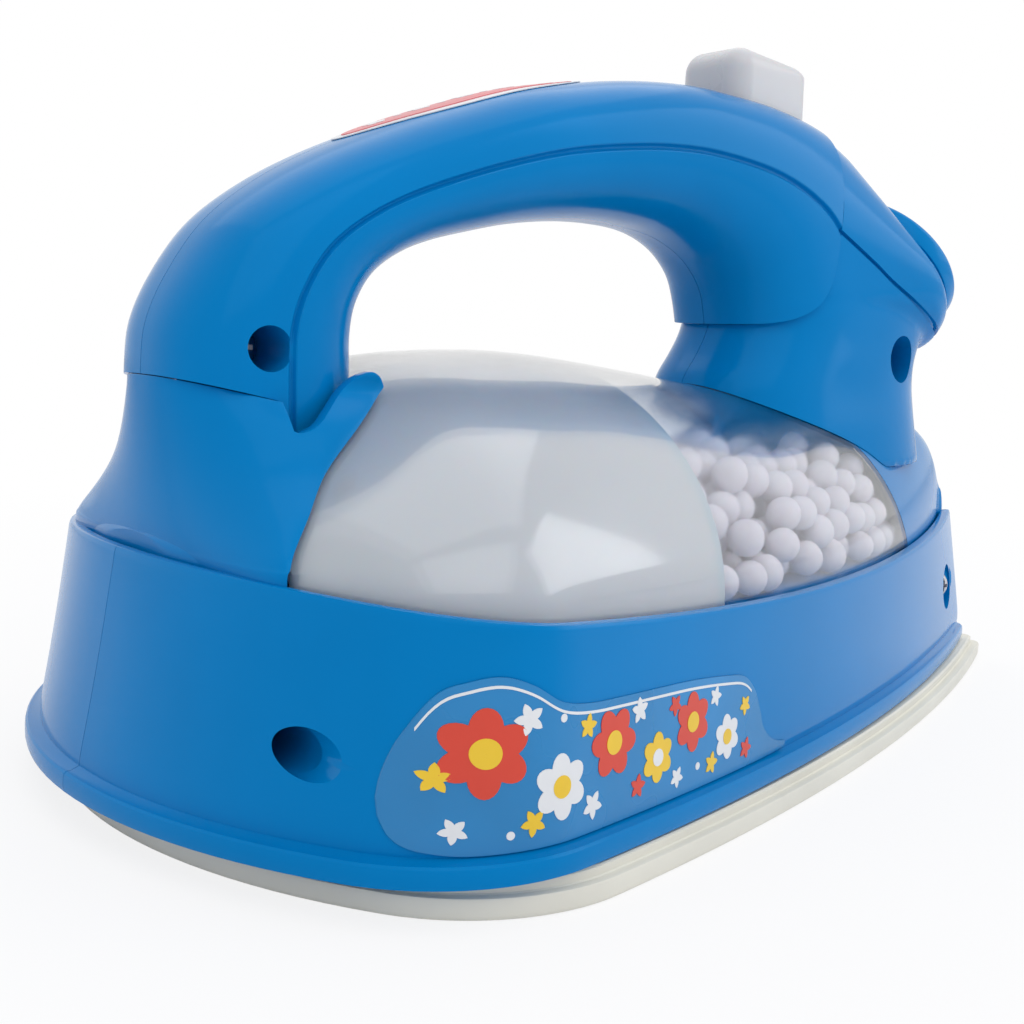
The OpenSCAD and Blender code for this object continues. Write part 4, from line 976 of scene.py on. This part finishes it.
# The top falls towards its front end
for row in rows[9:]:
    for i, (x, y, z) in enumerate(row):
        f = max(x - button_mid + 3, 0) / (button_l / 2 + 3)
        row[i] = (x, y, z - 2.3 * f ** 1.7 * clamp01((z - z1 + r) / r))
top_ring = rows[-1]
for i in range(1, 9):
    f = i / 8
    rows.append([(mix(x, button_mid, f * 0.96), y * (1 - f * 0.96), mix(z, z1, 1 - (1 - f) ** 2))
                 for x, y, z in top_ring])
button = loft("button_shell", rows)
stem = block("stem", (button_mid - 2, -1.25, pocket_z - 4), (button_mid + 2, 1.25, z0 + 1))
dress(join("button_shell", button, stem), white_mat, "button", "white_plastic", "slide_button")

# Foam beads heaped in their chamber: random places, pushed apart over 160 rounds
rng = np.random.default_rng(7)
floor_top = rim_z - 0.02 * rim_z
bead_r = bead_d / 2 * 0.96
bead_count = 330
start = np.stack([rng.uniform(a, b, 1500) for a, b in (
    (liner_front + 2.5, split_low_x + 2), (-42, 42), (floor_top + 2.4, 42.5))], axis=1)


def dome_room(q):
    """Share of the way to the dome's inner side, less the bead's size, and the size there."""
    w = np.array([half_width(dome_inset, 1.0, x) for x in q[:, 0]]) - dome_wall - bead_r - 0.25
    z0 = np.array([rim_height(x) for x in q[:, 0]])
    h = np.array([crest_height(x) for x in q[:, 0]]) - z0 - dome_wall - bead_r - 0.25
    w, h = np.maximum(w, 0.3), np.maximum(h, 0.3)
    dz = np.maximum(q[:, 2] - z0, 0)
    return np.sqrt((q[:, 1] / w) ** 2 + (dz / h) ** 2), z0


def last_x(z):
    return split_x(z) - 0.9


share, _ = dome_room(start)
# The heap leaves room for the lamp and has an uneven top
keep = (share < 1.05) & (share > 0.55) & (start[:, 0] < last_x(start[:, 2]) + 1)
keep &= start[:, 2] < 40.5 + 2 * np.sin(start[:, 0] * 0.31) * np.cos(start[:, 1] * 0.27)
lamp_x = heel_x + 0.625 * base_l
keep &= np.hypot(start[:, 0] - lamp_x, start[:, 1]) > 6
beads_at = start[keep][:bead_count]
for _ in range(160):
    diff = beads_at[:, None, :] - beads_at[None, :, :]
    dist = np.linalg.norm(diff, axis=2)
    np.fill_diagonal(dist, 1e9)
    push = np.maximum(2 * bead_r + 0.02 - dist, 0) / 2
    beads_at = beads_at + ((diff / np.maximum(dist, 1e-6)[:, :, None]) * push[:, :, None]).sum(1) * 0.6
    share, z0 = dome_room(beads_at)
    past = np.maximum(share, 1)
    beads_at[:, 1] /= past
    beads_at[:, 2] = z0 + (beads_at[:, 2] - z0) / np.where(beads_at[:, 2] > z0, past, 1)
    beads_at[:, 2] = np.maximum(beads_at[:, 2] - 0.02, floor_top + bead_r + 0.05)
    beads_at[:, 0] = np.clip(beads_at[:, 0], liner_front + bead_r + 0.1, last_x(beads_at[:, 2]))
verts, faces = [], []
rings, segs = 10, 20
for c in beads_at:
    base = len(verts)
    rad = bead_r * rng.uniform(0.9, 1.0)
    ph = rng.uniform(0, 6.28, 2)
    for j in range(rings + 1):
        for i in range(segs):
            a, b = 180 * j / rings, 360 * i / segs
            d = (sind(a) * cosd(b), sind(a) * sind(b), cosd(a))
            q = rad * (0.98 + 0.02 * math.sin(3 * d[0] + ph[0]) * math.sin(4 * d[1] + ph[1]))
            verts.append((c[0] + d[0] * q, c[1] + d[1] * q, c[2] + d[2] * q))
    for j in range(rings):
        for i in range(segs):
            k = base + j * segs
            faces.append((k + i, k + segs + i, k + segs + (i + 1) % segs, k + (i + 1) % segs))
dress(new_object("beads", verts, faces), foam_mat, "iron", "foam", "foam_beads")


# Labels: flat shapes laid on their carrier
def disc_rows(cu, cv, radius, n=6, m=36, turn=0):
    """Rings of a shape whose radius is a function of the angle."""
    rows = []
    for j in range(n + 1):
        row = []
        for i in range(m):
            a = 360 * i / m
            r = radius(a) * mix(0.02, 1, j / n)
            row.append((cu + r * cosd(a + turn), cv + r * sind(a + turn)))
        rows.append(row)
    return rows


def petals(count, radius, depth):
    return lambda a: radius * (1 - depth + depth * abs(cosd(count * a / 2)))


def star(count, radius, waist):
    return lambda a: radius * mix(1, waist, 1 - abs(2 * (a * count / 360 % 1) - 1))


# Oval label on the top of the grip, as one film across both halves
label_t = 0.25
lift = 0.06
oval_x = post_x + 0.382 * grip_l
oval_l = 37.0
oval_w = 11.0
top_rows = [full_section(i / 10, lift) for i in range(40, 130)]
top_tree = BVHTree.FromPolygons(
    [Vector(p) * MM for r in top_rows for p in r], grid(top_rows, True))


def drape(u, v, h):
    """Point over (u, v), h above the grip's top."""
    hit, normal, _, _ = top_tree.ray_cast(Vector((u, v, 130)) * MM, Vector((0, 0, -1)))
    if normal.z < 0:
        normal = -normal
    return tuple((hit + normal * h * MM) / MM)


def film(name, rows, low, high):
    """Film over rows of (u, v) on the grip's top, from low to high in shares of its thickness."""
    sheets = [[[drape(u, v, label_t * h) for u, v in r] for r in rows] for h in (high, low)]
    return shell(name, *sheets, True)


def oval_rows(scale_l, scale_w):
    a, b = oval_l * scale_l / 2, oval_w * scale_w / 2
    return [[(oval_x + a * u, b * v) for u, v in circle(mix(0.02, 1, j / 8), 96)] for j in range(9)]


dress(film("oval_edge", oval_rows(1, 1), 0, 0.45), white_film, "iron", "red_label", "oval_label")
dress(film("oval_face", oval_rows(0.93, 0.8), 0.2, 0.8), red_film, "iron", "red_label", "oval_label")

# Row of small white flowers and dots on the oval
marks = []
for k in range(-4, 5):
    u = oval_x + k * 3.2
    rows = disc_rows(u, 0, lambda a: 0.5, 3, 20) if k % 2 else disc_rows(u, 0, petals(5, 1.45, 0.38), 4, 40)
    marks.append(film("mark", rows, 0.6, 1))
dress(join("oval_marks", *marks), white_film, "iron", "red_label", "oval_label")


# Side labels
def skin_point(x, z, g, side):
    u = clamp01((z - flange_z - flange_t) / (rim_height(x) - flange_z - flange_t))
    u = round(u, 3)
    d = flange_w * (1 + 0.25 * math.exp(-20 * u)) + side_lean * u - g
    return (x, side * half_width(d, u, x), z)


side_label_shares = [
    [0.0885, 0.2, 0.3], [0.092, 0.1, 0.45], [0.1, 0.04, 0.64], [0.115, 0.01, 0.86], [0.13, 0, 0.93],
    [0.147, 0, 0.955], [0.165, 0, 0.9], [0.185, 0, 0.79], [0.21, 0, 0.745], [0.24, 0, 0.73],
    [0.28, 0, 0.715], [0.32, 0, 0.695], [0.36, 0, 0.655], [0.385, 0, 0.61], [0.4, 0, 0.5],
    [0.408, 0, 0.36], [0.415, 0, 0.21], [0.43, 0.005, 0.1], [0.45, 0.01, 0.05]
]
side_label_h = 17.5
label_z = flange_z + 1.2 * flange_t


def laid(name, rows, low, high, side, closed=True):
    """Film over rows of (x, z) on the skirt's side, from low to high in shares of its thickness."""
    sheets = [[[skin_point(x, z, lift + label_t * h, side) for x, z in r] for r in rows]
              for h in (high, low)]
    return shell(name, *sheets, closed)


label_curve = [(heel_x + s[0] * base_l, label_z + side_label_h * s[1], label_z + side_label_h * s[2])
               for s in curve(side_label_shares, 8)]
label_field = [[(x, mix(low, high, j / 12)) for j in range(13)] for x, low, high in label_curve]


def top_at(x):
    return float(np.interp(x, [q[0] for q in label_curve[::2]], [q[2] for q in label_curve[::2]]))


picks = random.Random(11)
for side, name in sides:
    face = laid("side_label_%s_face" % name, label_field, 0, 0.5, side, False)
    dress(face, blue_film, "iron", "blue_label", "side_label_" + name)
    groups = {"white": [], "orange": [], "yellow": []}
    # Big round flowers, small stars and dots, strewn over the label
    spots = [
        (0.137, 0.55, 4.3, "orange"), (0.185, 0.32, 3.3, "white"), (0.232, 0.48, 3.6, "orange"),
        (0.278, 0.3, 2.7, "yellow"), (0.318, 0.44, 3.3, "orange"), (0.362, 0.26, 2.6, "white")
    ]
    for sx, sz, rad, tone in spots:
        x, z = heel_x + sx * base_l, label_z + sz * side_label_h
        turned = picks.uniform(0, 60)
        flower = disc_rows(x, z, petals(6, rad, 0.3), 6, 60, turned)
        groups[tone].append(laid("flower", flower, 0.3, 0.8, side))
        middle = disc_rows(x, z, lambda a, q=rad: q * 0.34, 4, 28)
        groups["yellow" if tone != "yellow" else "white"].append(laid("middle", middle, 0.6, 1, side))
    stars = [
        (0.112, 0.42, 1.5, "yellow"), (0.162, 0.72, 1.6, "white"), (0.165, 0.15, 1.4, "yellow"),
        (0.212, 0.16, 1.5, "white"), (0.207, 0.62, 1.3, "yellow"), (0.258, 0.62, 1.4, "white"),
        (0.257, 0.17, 1.3, "orange"), (0.3, 0.13, 1.2, "white"), (0.297, 0.58, 1.2, "orange"),
        (0.342, 0.13, 1.3, "yellow"), (0.346, 0.55, 1.2, "white"), (0.388, 0.13, 1.3, "orange"),
        (0.386, 0.42, 1.2, "yellow"), (0.12, 0.14, 1.3, "white")
    ]
    for sx, sz, rad, tone in stars:
        x, z = heel_x + sx * base_l, label_z + sz * side_label_h
        rows = disc_rows(x, z, star(5, rad, 0.48), 3, 40, picks.uniform(0, 72))
        groups[tone].append(laid("star", rows, 0.3, 0.8, side))
    for _ in range(26):
        x = heel_x + picks.uniform(0.105, 0.395) * base_l
        z = mix(label_z + 1.5, top_at(x) - 1.5, picks.random())
        clear = all(math.hypot(x - heel_x - q[0] * base_l, z - label_z - q[1] * side_label_h) > q[2] + 1
                    for q in spots + stars)
        if clear:
            dot = laid("dot", disc_rows(x, z, lambda a: 0.42, 2, 16), 0.3, 0.75, side)
            groups[picks.choice(["white", "yellow"])].append(dot)
    # Fine light line along the label's upper edge
    xs = [heel_x + mix(0.105, 0.395, i / 99) * base_l for i in range(100)]
    line = [[(x, top_at(x) - 0.9 + w) for x in xs] for w in (0.14, -0.14)]
    groups["white"].append(laid("line", line, 0.3, 0.7, side, False))
    for tone, film_mat in (("white", white_film), ("orange", orange_film), ("yellow", yellow_film)):
        ob = join("side_label_%s_%s" % (name, tone), *groups[tone])
        dress(ob, film_mat, "iron", "blue_label", "side_label_" + name)

# Sole plate with its smooth outline
bay_wall = 1.4
motor_d = 12.0
cell_l = 50.0
cell_d = 14.3
contact_l = 4.0
speaker_d = 28.0
screw_d = 2.6
cell_y = cell_d / 2 + bay_wall / 4
bay_l = cell_l + 2 * contact_l
bay_w = 2 * (cell_y + cell_d / 2 + bay_wall / 4)
bay_x = heel_x + 0.31 * base_l
door_gap = 2 * gap
door_tab = 2 * head_y
door_x0 = bay_x - bay_l / 2 - bay_wall - door_tab / 2
door_x1 = bay_x + bay_l / 2
fan_x = heel_x + 0.727 * base_l
speaker_x = heel_x + 0.59 * base_l


def plate_row(inset, z):
    stretch = (base_l + plate_nose_out - plate_heel_inset - inset) / base_l
    half = [(heel_x + plate_heel_inset + (x - heel_x) * stretch, y) for x, y in half_outline(inset)]
    pts = [(x, -y, z) for x, y in half] + [(x, y, z) for x, y in reversed(half[1:-1])]
    return pts


edge = plate_t * 0.65
levels = [(0.55, 0), (0.22, 0.07), (0.12, 0.22), (gap, 0.5), (gap, edge - 0.35), (gap + 0.1, edge - 0.1),
          (gap + 0.35, edge), (plate_step + gap - 0.15, edge), (plate_step + gap, edge + 0.15),
          (plate_step + gap, plate_t - 0.2), (plate_step + gap + 0.2, plate_t)]
plate = loft("sole_shell", [plate_row(d, z) for d, z in levels])


def disc_z(name, x, y, r, z0, z1, n=48):
    return loft(name, [[(x + u, y + v, z) for u, v in circle(r, n)] for z in (z0, z1)])


tools = [block("door", (door_x0 - door_gap, -bay_w / 2 - door_gap, -20),
               (door_x1 + door_gap, bay_w / 2 + door_gap, 20))]
for s in (-1, 1):
    for sx, sy in ((0.125, 0.58), (0.823, 0.125)):
        x, y = heel_x + sx * base_l, s * sy * mid_w
        tools.append(disc_z("hole", x, y, screw_d / 2 + gap, -5, 20))
        tools.append(disc_z("head", x, y, head_y / 2 + 2 * gap, -5, 0.6 * plate_t))
for ring in (1, 2):
    for i in range(6 * ring):
        a = 360 * i / (6 * ring)
        r = ring * speaker_d * 0.17
        tools.append(disc_z("grille", speaker_x + r * cosd(a), r * sind(a), speaker_d * 0.035, -5, 20, 24))
cut(plate, *tools)
drop(*tools)
# Tube that holds the motor
bore_r = motor_d / 2 + gap
tube_r = bore_r + bay_wall
levels = ((tube_r, plate_t - 0.1), (tube_r, 2 * plate_t), (bore_r, 2 * plate_t), (bore_r, plate_t - 0.1))
tube = loft("tube", [[(fan_x + u, v, z) for u, v in circle(r, 48)] for r, z in levels], True, False)
plate = join("sole_shell", plate, tube)
dress(plate, plate_mat, "iron", "cream_plastic", "sole_plate")

# Screws in the wells of the right hand half: shank, domed head and crossed slot
def screw(name, place):
    prof = [(0.01, head_y - 10), (0.5, head_y - 9.6), (1.25, head_y - 8.6), (1.25, head_y), (2.2, head_y),
            (2.2, head_y + 0.5), (2.05, head_y + 0.95), (1.6, head_y + 1.4), (0.9, head_y + 1.7),
            (0.01, head_y + 1.8)]
    rows = [[(place[0] + u, -y, place[1] + v) for u, v in circle(r, 36)] for r, y in prof]
    ob = loft(name, rows, True, False)
    cutters = []
    for lx, lz in ((1.35, 0.28), (0.28, 1.35)):
        cutters.append(block("slot", (place[0] - lx, -20, place[1] - lz),
                             (place[0] + lx, -head_y - 0.8, place[1] + lz)))
    cut(ob, *cutters)
    drop(*cutters)
    return ob


dress(join("screws_grip", screw("a", grip_well), screw("b", post_well)), steel_mat, "iron", "steel",
      "grip_screws")
dress(join("screws_skirt", screw("a", heel_well), screw("b", nose_well)), steel_mat, "iron", "steel",
      "skirt_screws")

# The solids kept from the frame get their finishes
kept = {
    "battery_door": plate_mat, "chamber_floor": blue, "dial_bearing": milk_mat, "dial_screw": steel_mat,
    "slide_switch": black_mat, "battery_bay": black_mat, "battery_right": wrap_mat, "battery_left": wrap_mat,
    "battery_contacts": steel_mat, "door_screw": steel_mat, "circuit_board": board_mat,
    "sound_chips": black_mat, "lamp": white_mat, "loudspeaker": black_mat, "motor": steel_mat,
    "fan": white_mat, "sole_screws": steel_mat
}
for node_name, mat in kept.items():
    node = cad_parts[node_name]
    if not node.material_slots:
        node.data.materials.append(mat)
    for q in node.material_slots:
        q.material = mat

# Floor: shows as white but keeps the object's shadow, and far off is as white as the world behind it
floor_mat, nodes, links, bsdf = new_material("floor")
bsdf.inputs["Base Color"].default_value = (0.88, 0.88, 0.9, 1)
bsdf.inputs["Roughness"].default_value = 0.6
glow = nodes.new("ShaderNodeEmission")
glow.inputs["Color"].default_value = (1, 1, 1, 1)
glow.inputs["Strength"].default_value = 1.0
near = nodes.new("ShaderNodeTexCoord")
far = nodes.new("ShaderNodeVectorMath")
far.operation = "LENGTH"
links.new(near.outputs["Object"], far.inputs[0])
span = map_range(nodes, links, far.outputs["Value"], 0.82, 1.0)
span.inputs["From Min"].default_value = 0.12
span.inputs["From Max"].default_value = 0.3
seen = rays(nodes, links, "Is Camera Ray", "Is Transmission Ray")
far_off = maths(nodes, links, "MULTIPLY", seen, span.outputs["Result"])
mix_shaders(nodes, links, far_off, bsdf.outputs["BSDF"], glow.outputs["Emission"], "Material Output")
reach = 6000
floor = new_object("floor", [(x * reach, y * reach, -0.05) for x, y in ((-1, -1), (1, -1), (1, 1), (-1, 1))],
                   [(0, 1, 2, 3)], False)
floor.data.materials.append(floor_mat)
floor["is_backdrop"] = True

# World: even light, seen as white
world = scene.world or bpy.data.worlds.new("world")
scene.world = world
world.use_nodes = True
nodes, links = world.node_tree.nodes, world.node_tree.links
light = nodes["Background"]
light.inputs["Color"].default_value = (0.96, 0.97, 1, 1)
light.inputs["Strength"].default_value = 0.68
white = nodes.new("ShaderNodeBackground")
white.inputs["Color"].default_value = (1, 1, 1, 1)
white.inputs["Strength"].default_value = 1.0
seen = rays(nodes, links, "Is Camera Ray", "Is Glossy Ray", "Is Transmission Ray")
mix_shaders(nodes, links, seen, light.outputs["Background"], white.outputs["Background"], "World Output")


# Soft lamps
def lamp(name, place, aim, size, power):
    data = bpy.data.lights.new(name, "AREA")
    data.shape = "RECTANGLE"
    data.size, data.size_y = size
    data.energy = power
    ob = linked(name, data)
    ob.location = place
    ob.rotation_euler = (Vector(aim) - Vector(place)).to_track_quat("-Z", "Y").to_euler()


lamp("key", (-0.35, -0.75, 0.9), (0, 0, 0.03), (1.2, 1.0), 3.2)
lamp("over", (0.1, 0.3, 1.0), (0, 0, 0.03), (1.2, 1.2), 3.0)
lamp("side", (0.7, -0.5, 0.5), (0, 0, 0.03), (0.5, 0.7), 1.8)

# Camera at the photograph's angle
cam = bpy.data.cameras.new("camera")
cam.lens = 48.69
cam.sensor_width = 36
cam.clip_start = 0.01
camera = linked("camera", cam)
scene.camera = camera
az, el, roll, dist = 0.6795, 0.1254, 0.0391, 194.68
away = Vector((-math.sin(az) * math.cos(el), -math.cos(az) * math.cos(el), math.sin(el)))
aim = Vector((-19.03, 7.71, 30.31))
right = (-away).cross(Vector((0, 0, 1))).normalized()
up = right.cross(-away)
rolled_right = math.cos(roll) * right + math.sin(roll) * up
rolled_up = -math.sin(roll) * right + math.cos(roll) * up
turn = Matrix((rolled_right, rolled_up, away)).transposed().to_4x4()
camera.matrix_world = Matrix.Translation((aim + dist * away) * MM) @ turn

low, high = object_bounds()
